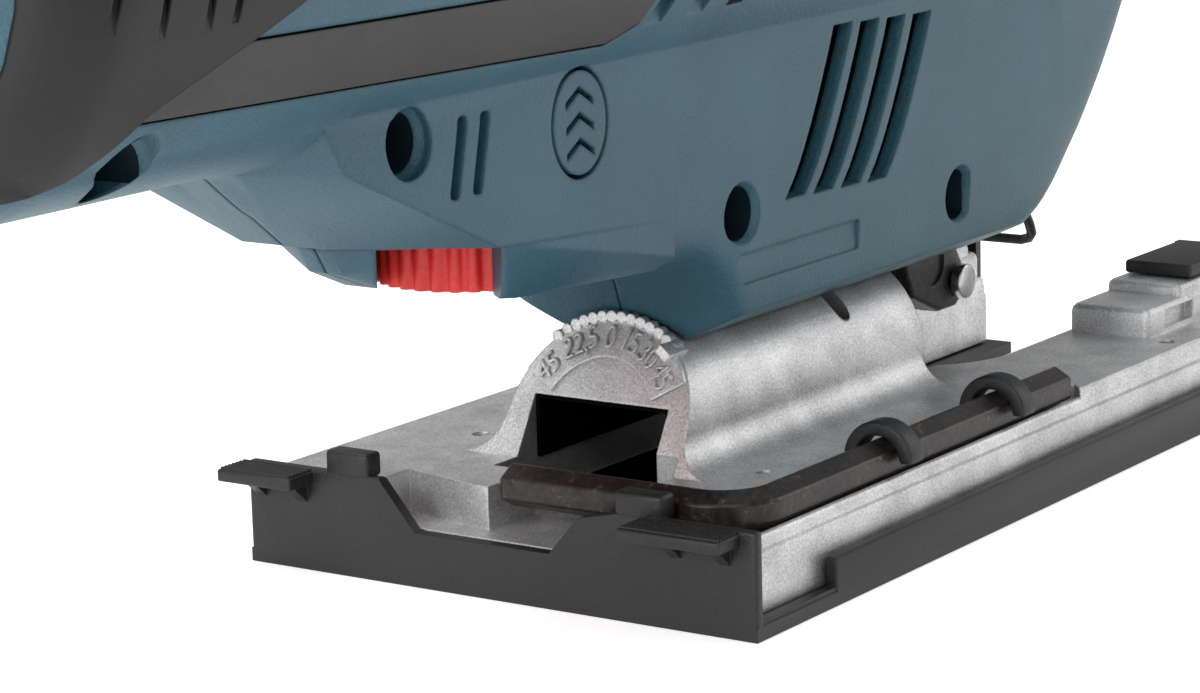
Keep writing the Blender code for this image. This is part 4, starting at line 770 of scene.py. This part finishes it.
def build_housing():
    xs = stations_between(HOUSING_REAR_X, NOSE_REACH, 0.0022)
    cavity = loft("housing_cavity", stations_between(HOUSING_REAR_X + WALL, NOSE_REACH - 0.0035), WALL)
    boolean(cavity,
            box("saddle_roof", (-0.0350, -0.040, 0.020), (ORBIT_PIVOT_X - 0.0120, 0.040, SADDLE_ROOF_Z)))
    saddle = saddle_cut()
    cross_wall(cavity, "bearing_wall", -0.0840, -0.0780, 0.0090 + GAP)
    cross_wall(cavity, "stator_wall", -0.0340, -0.0260, 0.0250 + GAP)
    for number, place in enumerate(SCREW_PLACES):
        boolean(cavity,
                cylinder(f"screw_boss_{number}", SCREW_BOSS, -CUT_FAR, CUT_FAR, place, "Y", None, 24))
    mouth = box("nose_mouth", (ORBIT_PIVOT_X - 0.011, -MOUTH_HALF, 0.020),
                (BLADE_X + MOUTH_FRONT, MOUTH_HALF, MOUTH_TOP_Z))
    dial_slot = cylinder("dial_room", DIAL_RADIUS + DIAL_ROOM, 0.0400, DIAL_HIGH_Z + 0.0006, (DIAL_X, 0.0),
                         "Z", None, 96)
    keel_trim = prism("keel_trim",
                      ((-0.1145, 0.0640), (-0.0996, 0.0537), (-0.0700, 0.0527), (-0.0700, 0.0300),
                                    (-0.1300, 0.0300), (-0.1300, 0.0640)), -CUT_FAR, CUT_FAR)
    bow, block, window = hull("keel_bow", BOW), hull("keel_block", DIAL_BLOCK), dial_window()
    switch_slot = box("switch_slot", (SWITCH_X - BUTTON_HALF[0] - 0.0005, -BUTTON_HALF[1] - 0.0005, 0.118),
                      (SWITCH_X + BUTTON_HALF[0] + SWITCH_TRAVEL + 0.0005, BUTTON_HALF[1] + 0.0005, 0.150))
    gland_hole = cylinder("gland_hole", GLAND_RADIUS + GAP, HOUSING_REAR_X - 0.010, HOUSING_REAR_X + 0.020,
                          (0, BARREL_Z), "X")
    knob_hole = cylinder("knob_hole", 0.0040 + GAP, 0.010, 0.040, (KNOB_X, KNOB_Z), "Y")
    for side, name in ((-1, "right"), (1, "left")):
        shell = loft(f"case_{name}", xs, 0.0, "teal", 14)
        boolean(shell, keel_trim)
        boolean(shell, bow, "UNION")
        boolean(shell, block, "UNION")
        boolean(shell, cavity)
        ends = sorted((side * GAP / 2, -side * CUT_FAR))
        boolean(shell, box(f"split_{name}", (HOUSING_REAR_X - 0.02, ends[0], -0.01),
                           (NOSE_REACH + 0.02, ends[1], HEAD_TOP_Z + 0.02)))
        boolean(shell, saddle)
        for number, (x, z) in enumerate(SCREW_PLACES):
            if side < 0:
                outline = arc((x, z), RECESS, 0, 345, 23)
                mouth_outline = arc((x, z), RECESS_MOUTH, 0, 345, 23)
                if number == 2:
                    outline = [(min(px, x + 0.0024), pz) for px, pz in outline]
                    mouth_outline = [(min(px, x + 0.0030), pz) for px, pz in mouth_outline]
                wall = half_width(x, z)
                boolean(shell,
                        stack(f"recess_{number}", ((RECESS_FLOOR_Y, outline), (-wall + 0.0010, outline),
                                                          (-wall, mouth_outline), (-0.046, mouth_outline)),
                                                          "Y"))
            boolean(shell,
                    cylinder(f"screw_bore_{name}_{number}", SCREW_BORE, -0.0095, 0.0110, (x, z), "Y", None,
                             16))
        for cutter in (mouth, dial_slot, window, switch_slot, gland_hole):
            boolean(shell, cutter)
        if side > 0:
            boolean(shell, knob_hole)
        for cutter in shell_cutters(side) + emblem_cuts(side):
            boolean(shell, cutter)
        plate = rounded([(-0.0290, 0.0425), (-0.0290, 0.0383), (0.0020, 0.0383), (0.0020, 0.0425)], 0.0006)
        ends = sorted((side * (CASE_HALF - 0.0006), side * OUTSIDE))
        boolean(shell, prism(f"plate_recess_{name}", plate, *ends))
        pocket_ends = sorted((side * 0.012, side * OUTSIDE))
        pocket = prism(f"pad_pocket_{name}", PAD_OUTLINE, *pocket_ends)
        boolean(pocket, loft(f"pad_floor_{name}", stations_between(-0.1600, -0.0500), PAD_DEPTH))
        boolean(shell, pocket)
        place_piece(shell, "housing", f"housing_{name}")
        paint_inside_shade(shell)
        # a near-black sheet behind the vents that paints the shade inside the housing
        ends = sorted((side * 0.0160, side * 0.0166))
        shade_sheet = prism(f"vent_shade_sheet_{name}",
                       rounded([(-0.0220, 0.0440), (0.0180, 0.0440), (0.0240, 0.0735),
                                                        (-0.0150, 0.0735)], 0.0015), *ends, look="void")
        place_piece(shade_sheet, "housing")
    clear_cutters()


def build_grips():
    for side, name in ((-1, "right"), (1, "left")):
        ends = sorted((side * 0.012, side * OUTSIDE))
        pad = prism(f"pad_{name}", inset_outline(PAD_OUTLINE, GAP), *ends, look="pad")
        fine = stations_between(-0.1600, -0.0500, 0.003)
        boolean(pad, loft(f"pad_skin_{name}", fine, -0.0002, None, 10), "INTERSECT")
        boolean(pad, loft(f"pad_back_{name}", stations_between(-0.1600, -0.0500), PAD_DEPTH - GAP))
        place_piece(pad, "housing", f"grip_pad_{name}")
    sleeve = loft("sleeve", stations_between(HOUSING_REAR_X + 0.0020, -0.1000, 0.0025), -SLEEVE_THICK,
                  "sleeve", 16)
    boolean(sleeve, loft("sleeve_inside", stations_between(HOUSING_REAR_X, -0.0990), -GAP))
    ahead = list(SLEEVE_EDGE) + [(-0.050, 0.150), (-0.050, 0.040), (-0.160, 0.040)]
    boolean(sleeve, prism("sleeve_front_cut", ahead, -CUT_FAR, CUT_FAR))
    grooves = (((-0.1612, 0.0910), (-0.1648, 0.0773)), ((-0.1545, 0.0960), (-0.1560, 0.0835)),
               ((-0.1475, 0.0990), (-0.1487, 0.0846)), ((-0.1415, 0.1020), (-0.1443, 0.0872)))
    for number, ((top_x, top_z), (low_x, low_z)) in enumerate(grooves):
        slot = [(low_x - 0.0006, low_z), (low_x + 0.0006, low_z), (top_x + 0.0006, top_z + 0.010),
                (top_x - 0.0006, top_z + 0.010)]
        for side in (-1, 1):
            ends = sorted((side * 0.0320, side * OUTSIDE))
            boolean(sleeve, prism(f"sleeve_groove_{number}_{side}", slot, *ends))
    place_piece(sleeve, "housing", "rear_sleeve")
    gland = cylinder("gland", GLAND_RADIUS, HOUSING_REAR_X - 0.0040, HOUSING_REAR_X + 0.0120,
                     (0, BARREL_Z), "X", "black")
    boolean(gland,
            cylinder("gland_bore", 0.0038, HOUSING_REAR_X - 0.010, HOUSING_REAR_X + 0.020, (0, BARREL_Z),
                            "X"))
    add_bevel(gland, 0.0005)
    place_piece(gland, "housing", "cable_gland")
    clear_cutters()


# ---- base and shoe ---------------------------------------------------------------------------
def fork_outline(inset, slot_half, slot_start, front_cut=0.006):
    rear = REAR_X + inset
    front = FRONT_X - inset
    half = BASE_HALF - inset
    end = REAR_X + slot_start + slot_half
    inner = arc((end, 0), slot_half, 90, 270, 24)
    outline = [(front, slot_half), *inner, (front, -slot_half), (front, front_cut - half)]
    outline += [(front - front_cut, -half), (rear, -half), (rear, half), (front - front_cut, half)]
    return outline + [(front, half - front_cut)]


def dome_rear_x(z):
    return REAR_X + DOME_REAR + math.tan(DOME_LEAN) * (z - DOME_Z)


def lean_block(name, ahead):
    """Everything behind the dome's leaning face, shifted forward by a distance."""
    low, high = PORT_FLOOR - 0.010, DOME_Z + 0.030
    return prism(name, ((dome_rear_x(low) + ahead, low), (dome_rear_x(high) + ahead, high),
                        (REAR_X - 0.010, high), (REAR_X - 0.010, low)), -0.030, 0.030)


def face_band(name, inner, outer, start, end, proud):
    """A ring segment that stands proud of the dome's leaning face."""
    outline = arc((0, DOME_Z), outer, start, end, 48) + arc((0, DOME_Z), inner, end, start, 48)
    band = prism(name, outline, REAR_X + 0.012, REAR_X + DOME_REAR + 0.012, "X")
    boolean(band, lean_block(name + "_lean", -proud))
    return band


def build_base():
    edge = SHOE_WALL + GAP + 0.0004
    layers = [(BASE_BOTTOM, fork_outline(edge, SLOT_HALF, SLOT_START)),
              (0.0102, fork_outline(edge, SLOT_HALF, SLOT_START)),
              (0.0106, fork_outline(edge + 0.0005, SLOT_HALF, SLOT_START)),
              (0.0130, fork_outline(edge + 0.0009, SLOT_HALF, SLOT_START)),
              (BASE_TOP, fork_outline(edge + 0.0014, SLOT_HALF + 0.0004, SLOT_START - 0.0004))]
    plate = stack("base_casting", layers, "Z", "cast")
    dome = cylinder("dome_form", DOME_RADIUS, REAR_X + 0.010, REAR_X + DOME_FRONT, (0, DOME_Z), "X", None,
                    128)
    boolean(dome, box("dome_below", (REAR_X, -0.030, -0.020), (FRONT_X, 0.030, BASE_BOTTOM + 0.002)))
    skirt = [(-0.0204, 0.0100), (0.0204, 0.0100), *[(DOME_RADIUS - 0.0001 + 0.0056 - y, z) for y, z in
             [(0.0056 * math.sin(math.radians(a)), BASE_TOP + 0.0056 * (1 - math.cos(math.radians(a))))
              for a in range(0, 91, 10)]]]
    skirt += [(-y, z) for y, z in reversed(skirt[2:])]
    boolean(dome, prism("dome_skirt", skirt, REAR_X + 0.010, REAR_X + DOME_FRONT - 0.0010, "X"), "UNION")
    boolean(dome, lean_block("dome_lean_cut", 0.0))
    boolean(plate, dome, "UNION")
    boolean(plate, face_band("number_band", BAND_INNER, DOME_RADIUS - 0.0002, 28.0, 150.5, BAND_PROUD),
            "UNION")
    for tooth in range(TEETH):
        angle = math.radians(50 + 80 * tooth / (TEETH - 1))
        y, z = TOOTH_RING * math.cos(angle), DOME_Z + TOOTH_RING * math.sin(angle)
        x = dome_rear_x(z)
        start = min(x - 0.0010, -0.0296)
        end = min(x + 0.0030, SADDLE_REAR_X)
        boolean(plate, cylinder(f"dome_tooth_{tooth}", TOOTH_RADIUS, start, end, (y, z), "X", None, 16),
                "UNION")
    ridge = arc((0.0, DOME_Z), 0.0154, 127.0, 135.0, 4) + arc((0.0, DOME_Z), 0.0140, 135.0, 127.0, 4)
    boolean(plate, prism("dome_ridge", ridge, -0.0330, SADDLE_REAR_X, "X"), "UNION")
    for side in (-1, 1):
        ends = sorted((side * (SLOT_HALF + 0.0005), side * 0.0310))
        low = box(f"arm_block_{side}", (REAR_X + 0.1310, ends[0], BASE_TOP - 0.002),
                  (FRONT_X - 0.0035, ends[1], 0.0180), bevel=0.0014)
        high = box(f"arm_step_{side}", (REAR_X + 0.1430, ends[0] + 0.0005, BASE_TOP),
                   (FRONT_X - 0.0060, ends[1] - 0.0005, 0.0198), bevel=0.0011)
        boolean(plate, low, "UNION")
        boolean(plate, high, "UNION")
        window = sorted((side * 0.0295, side * 0.0330))
        boolean(plate, box(f"arm_window_{side}", (0.0765, window[0], 0.0142), (0.0865, window[1], 0.0170)))
        hollow = sorted((side * (DOME_RADIUS + 0.0060), side * 0.0300))
        boolean(plate, box(f"underside_pocket_{side}", (REAR_X + 0.030, hollow[0], BASE_BOTTOM - 0.001),
                           (REAR_X + 0.125, hollow[1], 0.0090)))
        for hole_x, hole_y in ((-0.0298, 0.0235), (0.0703, 0.0342)):
            boolean(plate, cylinder(f"jig_hole_{side}_{hole_x}", 0.0013, BASE_TOP - 0.002, 0.020,
                                    (hole_x, side * hole_y), "Z", None, 20))
    boolean(plate,
            box("dust_channel", (REAR_X + 0.016, -PORT_HALF, PORT_FLOOR), (FRONT_X, PORT_HALF, PORT_TOP)))
    boolean(plate,
            box("rear_pocket", (REAR_X - 0.005, -0.0145, PORT_FLOOR), (REAR_X + 0.0230, 0.0045, 0.030)))
    ledge = ((REAR_X - 0.005, 0.0040), (REAR_X + 0.0056, 0.0040), (REAR_X + 0.0090, 0.0200),
             (REAR_X - 0.005, 0.0200))
    boolean(plate, prism("rear_ledge", ledge, PORT_FLOOR, 0.030, "Z"))
    reach = KEY_FLATS / math.sqrt(3) + 0.0004
    groove_floor = KEY_Z - reach
    end_x = REAR_X + KEY_END_X
    groove = ((REAR_X - 0.005, KEY_Y - reach), (end_x + 0.0008, KEY_Y - reach),
              (end_x + 0.0036, KEY_Y - 0.0010),
              (end_x + 0.0008, KEY_Y + reach), (REAR_X - 0.005, KEY_Y + reach))
    boolean(plate, prism("key_groove", groove, groove_floor, 0.030, "Z"))
    boolean(plate, box("key_cross_groove", (REAR_X - 0.005, KEY_Y - reach, groove_floor),
                       (REAR_X + KEY_ARM_X + reach + 0.0015, -0.0140, 0.030)))
    slot = rounded([(0.0090, -0.0124), (0.0126, -0.0124), (0.0126, 0.0124), (0.0090, 0.0124)], 0.0017)
    boolean(plate, prism("tilt_slot", slot, 0.0222, 0.0400, "Z"))
    boolean(plate, cylinder("clamp_bore", 0.0033, -0.001, 0.024, (CLAMP_X, 0.0), "Z"))
    boolean(plate, cylinder("clamp_head_bore", 0.0053, -0.001, BASE_BOTTOM + 0.0034, (CLAMP_X, 0.0), "Z"))
    place_piece(plate, "base", "base_plate", angle=28.0)
    build_duct()
    build_numbers()
    clear_cutters()


def build_duct():
    """A black lining of the dust channel, seen through the port, made blacker and glossless to paint the
    channel's shade.
    """
    depth = 0.0006
    duct = box("duct_liner", (REAR_X + 0.0262, -PORT_HALF + 0.00005, PORT_FLOOR + 0.0051),
               (REAR_X + 0.0600, PORT_HALF - 0.00005, PORT_TOP - 0.00005), "void")
    boolean(duct, box("duct_room", (REAR_X, -PORT_HALF + depth, PORT_FLOOR - 0.001),
                      (REAR_X + 0.0590, PORT_HALF - depth, PORT_TOP - depth)))
    boolean(duct, lean_block("duct_lean", 0.0004))
    place_piece(duct, "base")
    floor = box("duct_floor", (REAR_X + 0.0215, -PORT_HALF + depth + GAP, PORT_FLOOR + 0.00005),
                (REAR_X + 0.0600, PORT_HALF - depth - GAP, PORT_FLOOR + 0.0003), "void")
    place_piece(floor, "base")
    bump = box("rear_casting_lug", (-0.0520, 0.0046, PORT_FLOOR - 0.0005),
               (-0.0450, 0.0140, BASE_TOP - 0.0010), "cast", 0.0012)
    place_piece(bump, "base")


def build_numbers():
    """Raised degree numbers on the band, each turned about the tilt axis."""
    places = (("45", 39.0), ("22,5", 64.5), ("0", 87.0), ("15", 103.5), ("30", 121.0), ("45", 139.0))
    for number, (text, angle) in enumerate(places):
        curve = bpy.data.curves.new(f"degree_{number}", "FONT")
        curve.body = text
        curve.align_x = "CENTER"
        curve.align_y = "CENTER"
        curve.size = NUMBER_SIZE
        curve.extrude = NUMBER_DEPTH
        curve.space_character = 0.92
        carrier = bpy.data.objects.new(f"degree_text_{number}", curve)
        bpy.context.scene.collection.objects.link(carrier)
        bpy.context.view_layer.update()
        mesh = bpy.data.meshes.new_from_object(carrier.evaluated_get(bpy.context.evaluated_depsgraph_get()))
        bpy.data.objects.remove(carrier, do_unlink=True)
        # text plane: its X runs along -Y, its Y along +Z, its depth along -X
        stand = Matrix(((0, 0, -1, 0), (-1, 0, 0, 0), (0, 1, 0, 0), (0, 0, 0, 1)))
        turn = Matrix.Rotation(math.radians(angle - 90), 4, "X")
        for vertex in mesh.vertices:
            local = stand @ vertex.co
            spun = turn @ Vector((local.x, local.y * NUMBER_SQUEEZE, local.z + NUMBER_RADIUS))
            y, z = spun.y, DOME_Z + spun.z
            x = dome_rear_x(z) - BAND_PROUD / math.cos(DOME_LEAN) + local.x
            vertex.co = (x, y, z)
        mesh.update()
        obj = bpy.data.objects.new(f"degree_number_{number}", mesh)
        bpy.context.scene.collection.objects.link(obj)
        mesh.materials.clear()
        mesh.materials.append(MATERIALS["cast"])
        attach(obj, "base")


def build_shoe():
    shoe = prism("shoe_tray", fork_outline(0.0, SLOT_HALF - 0.0035, SLOT_START + 0.0035), 0.0, SHOE_FLOOR,
                 "Z", "shoe")
    bar = 0.0005
    rear = box("shoe_rear_wall", (REAR_X, -BASE_HALF, bar), (REAR_X + SHOE_WALL, BASE_HALF, 0.0143),
               bevel=0.0005)
    notch = prism("shoe_notch", ((0.0186, 0.020), (0.0186, 0.0144), (0.0127, 0.0075), (-0.0092, 0.0075),
                                 (-0.0141, 0.0129), (-0.0206, 0.0143), (-0.0206, 0.020)), REAR_X - 0.005,
                  REAR_X + 0.005, "X")
    boolean(rear, notch)
    walls = [rear]
    for side in (-1, 1):
        ends = sorted((side * (BASE_HALF - SHOE_WALL), side * BASE_HALF))
        walls.append(box(f"shoe_side_{side}", (REAR_X + 0.0195, ends[0], bar),
                         (FRONT_X - 0.0060, ends[1], 0.0064), bevel=0.0003))
        ends = sorted((side * (BASE_HALF - SHOE_WALL), side * (BASE_HALF - 0.0002)))
        walls.append(box(f"shoe_strip_{side}", (REAR_X + 0.0010, ends[0], bar),
                         (REAR_X + 0.0200, ends[1], 0.0025)))
        near, far = (0.0295, 0.0422) if side > 0 else (0.0234, 0.0388)
        ends = sorted((side * near, side * far))
        pad = box(f"release_pad_{side}", (REAR_X - 0.0052, ends[0], 0.0122),
                  (REAR_X + 0.0008, ends[1], 0.0139), bevel=0.0003)
        walls.append(pad)
        for rib in range(PAD_RIBS):
            x = REAR_X - 0.0046 + 0.00078 * rib
            walls.append(box(f"pad_rib_{side}_{rib}", (x - 0.0002, ends[0] + 0.0004, 0.0135),
                             (x + 0.0002, ends[1] - 0.0004, 0.0142)))
        for gusset in ((0.0386, 0.0315) if side > 0 else (0.0290, 0.0364)):
            walls.append(prism(f"gusset_{side}_{gusset}",
                               ((REAR_X + 0.0004, 0.0092), (REAR_X - 0.0034, 0.0124),
                                                           (REAR_X + 0.0004, 0.0124)),
                               *sorted((side * (gusset - 0.0008), side * (gusset + 0.0008)))))
        near, far = (0.0203, 0.0275) if side > 0 else (0.0196, 0.0269)
        ends = sorted((side * near, side * far))
        walls.append(box(f"rear_clip_{side}", (REAR_X + 0.0001, ends[0], BASE_TOP + GAP),
                         (REAR_X + 0.0034, ends[1], 0.0172), bevel=0.0006))
        ends = sorted((side * 0.0185, side * 0.0300))
        front = FRONT_X - 0.0005
        walls.append(box(f"front_wall_{side}", (front - SHOE_WALL, ends[0], bar), (front, ends[1], 0.0222)))
        walls.append(box(f"front_clip_{side}", (front - 0.0200, ends[0], 0.0201),
                         (front - 0.0004, ends[1], 0.0222), bevel=0.0005))
    for wall in walls:
        boolean(shoe, wall, "UNION")
    boolean(shoe, cylinder("shoe_clamp_access", 0.0062, -0.001, 0.003, (CLAMP_X, 0.0), "Z"))
    place_piece(shoe, "base", "glide_shoe")
    inner = KEY_FLATS / math.sqrt(3) + 0.0004
    for word, distance in zip(("rear", "front"), CLIP_PLACES):
        x = REAR_X + distance
        outer = inner + 0.0020
        foot = BASE_TOP + GAP
        outline = [(KEY_Y + outer, foot), *arc((KEY_Y, KEY_Z), outer, 5, 175, 32), (KEY_Y - outer, foot)]
        outline += [(KEY_Y - inner, foot), *arc((KEY_Y, KEY_Z), inner, 175, 5, 32), (KEY_Y + inner, foot)]
        clip = prism(f"clip_{word}", outline, x - 0.0019, x + 0.0019, "X", "shoe")
        add_bevel(clip, 0.0007)
        place_piece(clip, "base", f"key_clip_{word}")
    clear_cutters()


def build_key():
    """A chamfered hexagon bar swept round one bend."""
    radius = KEY_FLATS / math.sqrt(3)
    bend = (REAR_X + KEY_ARM_X + KEY_BEND, KEY_Y + KEY_BEND)
    path = [(REAR_X + KEY_END_X, KEY_Y, 0.72), (REAR_X + KEY_END_X - 0.0008, KEY_Y, 1.0)]
    path += [(x, y, 1.0) for x, y in arc(bend, KEY_BEND, 270, 180, 16)]
    path += [(REAR_X + KEY_ARM_X, KEY_SHORT_END_Y - 0.0008, 1.0),
             (REAR_X + KEY_ARM_X, KEY_SHORT_END_Y, 0.72)]
    bm = bmesh.new()
    rings = []
    blunt = math.radians(4.0)
    for i, (x, y, share) in enumerate(path):
        before = Vector(path[max(i - 1, 0)][:2])
        after = Vector(path[min(i + 1, len(path) - 1)][:2])
        forward = (after - before).normalized()
        side = Vector((forward.y, -forward.x))
        loop = []
        for corner in range(6):
            for offset in (-blunt, blunt):
                angle = math.radians(60 * corner + 30) + offset
                out = side * (radius * share * math.cos(angle))
                loop.append(bm.verts.new((x + out.x, y + out.y, KEY_Z + radius * share * math.sin(angle))))
        rings.append(loop)
    for first, second in zip(rings, rings[1:]):
        for i in range(12):
            j = (i + 1) % 12
            bm.faces.new((first[i], first[j], second[j], second[i]))
    bm.faces.new(rings[0])
    bm.faces.new(list(reversed(rings[-1])))
    place_piece(add_mesh("stored_key", bm, "key"), "key", "hex_key", angle=24.0)


# ---- working parts and controls --------------------------------------------------------------
BRACKET_OUTLINE = ((0.0370, 0.0330), (0.0395, 0.0445), (0.0455, 0.0445), (0.0490, 0.0365), (0.0545, 0.0290),
                   (0.0572, 0.0250), (0.0572, 0.0215), (0.0545, 0.0195), (0.0490, 0.0195), (0.0410, 0.0230))


def build_roller():
    bracket = prism("bracket_arm", rounded(BRACKET_OUTLINE, 0.0014), -BRACKET_HALF, BRACKET_HALF, "Y",
                    "dark_steel")
    add_bevel(bracket, 0.0006)
    boolean(bracket, box("roller_gap", (ROLLER_X - ROLLER_RADIUS - 0.0008, -ROLLER_HALF - GAP, 0.005),
                         (0.090, ROLLER_HALF + GAP, ROLLER_Z + ROLLER_RADIUS + 0.0008)))
    boolean(bracket, cylinder("pivot_way", 0.0019, -0.020, 0.020, (ORBIT_PIVOT_X, ORBIT_PIVOT_Z), "Y"))
    boolean(bracket, cylinder("roller_pin_way", 0.0016, -0.020, 0.020, (ROLLER_X, ROLLER_Z), "Y"))
    boolean(bracket,
            cylinder("boss_groove", 0.0036, -0.0080, -0.0057, (ROLLER_X - 0.0075, ROLLER_Z + 0.0040), "Y"))
    place_piece(bracket, "bracket", "roller_bracket")
    pin = cylinder("pin_with_head", 0.0015, -BRACKET_HALF - 0.0016, BRACKET_HALF + 0.0004,
                   (ROLLER_X, ROLLER_Z), "Y", "steel", 40)
    head = cylinder("pin_head", 0.0027, -BRACKET_HALF - 0.0020, -BRACKET_HALF - GAP, (ROLLER_X, ROLLER_Z),
                    "Y", None, 40)
    add_bevel(head, 0.0003)
    boolean(pin, head, "UNION")
    place_piece(pin, "bracket", "roller_pin")
    roller = cylinder("grooved_roller", ROLLER_RADIUS, -ROLLER_HALF, ROLLER_HALF, (ROLLER_X, ROLLER_Z),
                      "Y", "steel", 72)
    add_bevel(roller, 0.0004)
    boolean(roller, cylinder("roller_bore", 0.0016, -0.010, 0.010, (ROLLER_X, ROLLER_Z), "Y"))
    groove = cylinder("roller_groove", ROLLER_RADIUS + 0.002, -0.0007, 0.0007, (ROLLER_X, ROLLER_Z), "Y",
                      None, 72)
    boolean(groove,
            cylinder("roller_core", ROLLER_RADIUS - 0.0012, -0.004, 0.004, (ROLLER_X, ROLLER_Z), "Y", None,
                     72))
    boolean(roller, groove)
    place_piece(roller, "roller", "guide_roller")
    y = MOUTH_HALF - GAP - GUARD_WIRE
    side = [(BLADE_X + 0.0060, y, 0.0440), (BLADE_X + 0.0060, y, 0.0375), (BLADE_X + 0.0063, y, 0.0352),
            (BLADE_X + 0.0080, y, 0.0325), (BLADE_X + 0.0103, y, 0.0293),
            (BLADE_X + 0.0116, y - 0.0003, 0.0277),
            (BLADE_X + 0.0124, y - 0.0012, 0.0267), (BLADE_X + 0.0128, y - 0.0028, 0.0262)]
    path = side + [(x, -y_side, z) for x, y_side, z in reversed(side)]
    place_piece(tube("guard_loop", path, GUARD_WIRE, "dark_steel", 12), "housing", "wire_guard", angle=60.0)
    clear_cutters()


def build_controls():
    outline = []
    for rib in range(DIAL_RIBS):
        for radius, share in ((DIAL_RADIUS - 0.0006, 0.0), (DIAL_RADIUS - 0.0001, 0.14),
                              (DIAL_RADIUS, 0.35),
                              (DIAL_RADIUS - 0.0001, 0.56), (DIAL_RADIUS - 0.0006, 0.70),
                              (DIAL_RADIUS - 0.0007, 0.85)):
            angle = 2 * math.pi * (rib + share) / DIAL_RIBS
            outline.append((DIAL_X + radius * math.cos(angle), radius * math.sin(angle)))
    dial = prism("thumbwheel", outline, DIAL_LOW_Z, DIAL_HIGH_Z, "Z", "red")
    place_piece(dial, "dial", "speed_dial", angle=50.0)
    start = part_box("orbital_knob")[0][1]
    face = half_width(KNOB_X, KNOB_Z + KNOB_RADIUS) + GAP
    knob = cylinder("selector_knob", KNOB_RADIUS, face, face + 0.0030, (KNOB_X, KNOB_Z), "Y", "black", 72)
    bar = box("knob_bar", (KNOB_X - KNOB_RADIUS - 0.0035, face + 0.001, KNOB_Z - 0.0028),
              (KNOB_X + KNOB_RADIUS - 0.0010, face + 0.0075, KNOB_Z + 0.0028), bevel=0.0010)
    boolean(knob, bar, "UNION")
    boolean(knob, cylinder("knob_stem", 0.0040, start + 0.00005, face + 0.001, (KNOB_X, KNOB_Z), "Y"),
            "UNION")
    place_piece(knob, "knob", "orbital_knob")
    low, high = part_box("switch_button")
    button = box("slide_button", tuple(low), tuple(high), "red", 0.0008)
    top = high[2]
    for groove in range(4):
        x = low[0] + 0.0035 + 0.0030 * groove
        boolean(button,
                box(f"button_groove_{groove}", (x - 0.0005, -0.010, top - 0.0008),
                    (x + 0.0005, 0.010, top + 0.01)))
    place_piece(button, "switch", "switch_button")
    low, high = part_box("blade_release_lever")
    near, thick = low[0], 0.0034
    outline = ((near, low[2]), (near + thick + 0.0016, low[2]), (near + thick, low[2] + 0.005),
               (near + thick, high[2] - 0.0015), (near + thick - 0.0015, high[2]), (near, high[2]))
    lever = prism("release_flap", outline, low[1], high[1], "Y", "black")
    add_bevel(lever, 0.0006)
    for rib in range(3):
        z = low[2] + 0.0065 + 0.0025 * rib
        boolean(lever,
                box(f"flap_groove_{rib}", (near + thick - 0.0004, low[1] + 0.002, z),
                    (near + 0.02, high[1] - 0.002,
                                                                                            z + 0.0010)))
    place_piece(lever, "lever", "blade_release_lever")
    clear_cutters()


def dress_frame():
    """Every CAD piece that still shows gets the finish of its slot."""
    slots = {part["node"]: part.get("material_slot") for part in frame["record"]["subparts"]}
    for name, obj in frame["nodes"].items():
        look = MATERIALS[SLOT_LOOKS.get(slots.get(name), "black")]
        if not obj.material_slots:
            obj.data.materials.append(look)
        for slot in obj.material_slots:
            slot.material = look


add_camera()
add_studio()
dress_frame()
build_housing()
build_grips()
build_base()
build_shoe()
build_key()
build_roller()
build_controls()
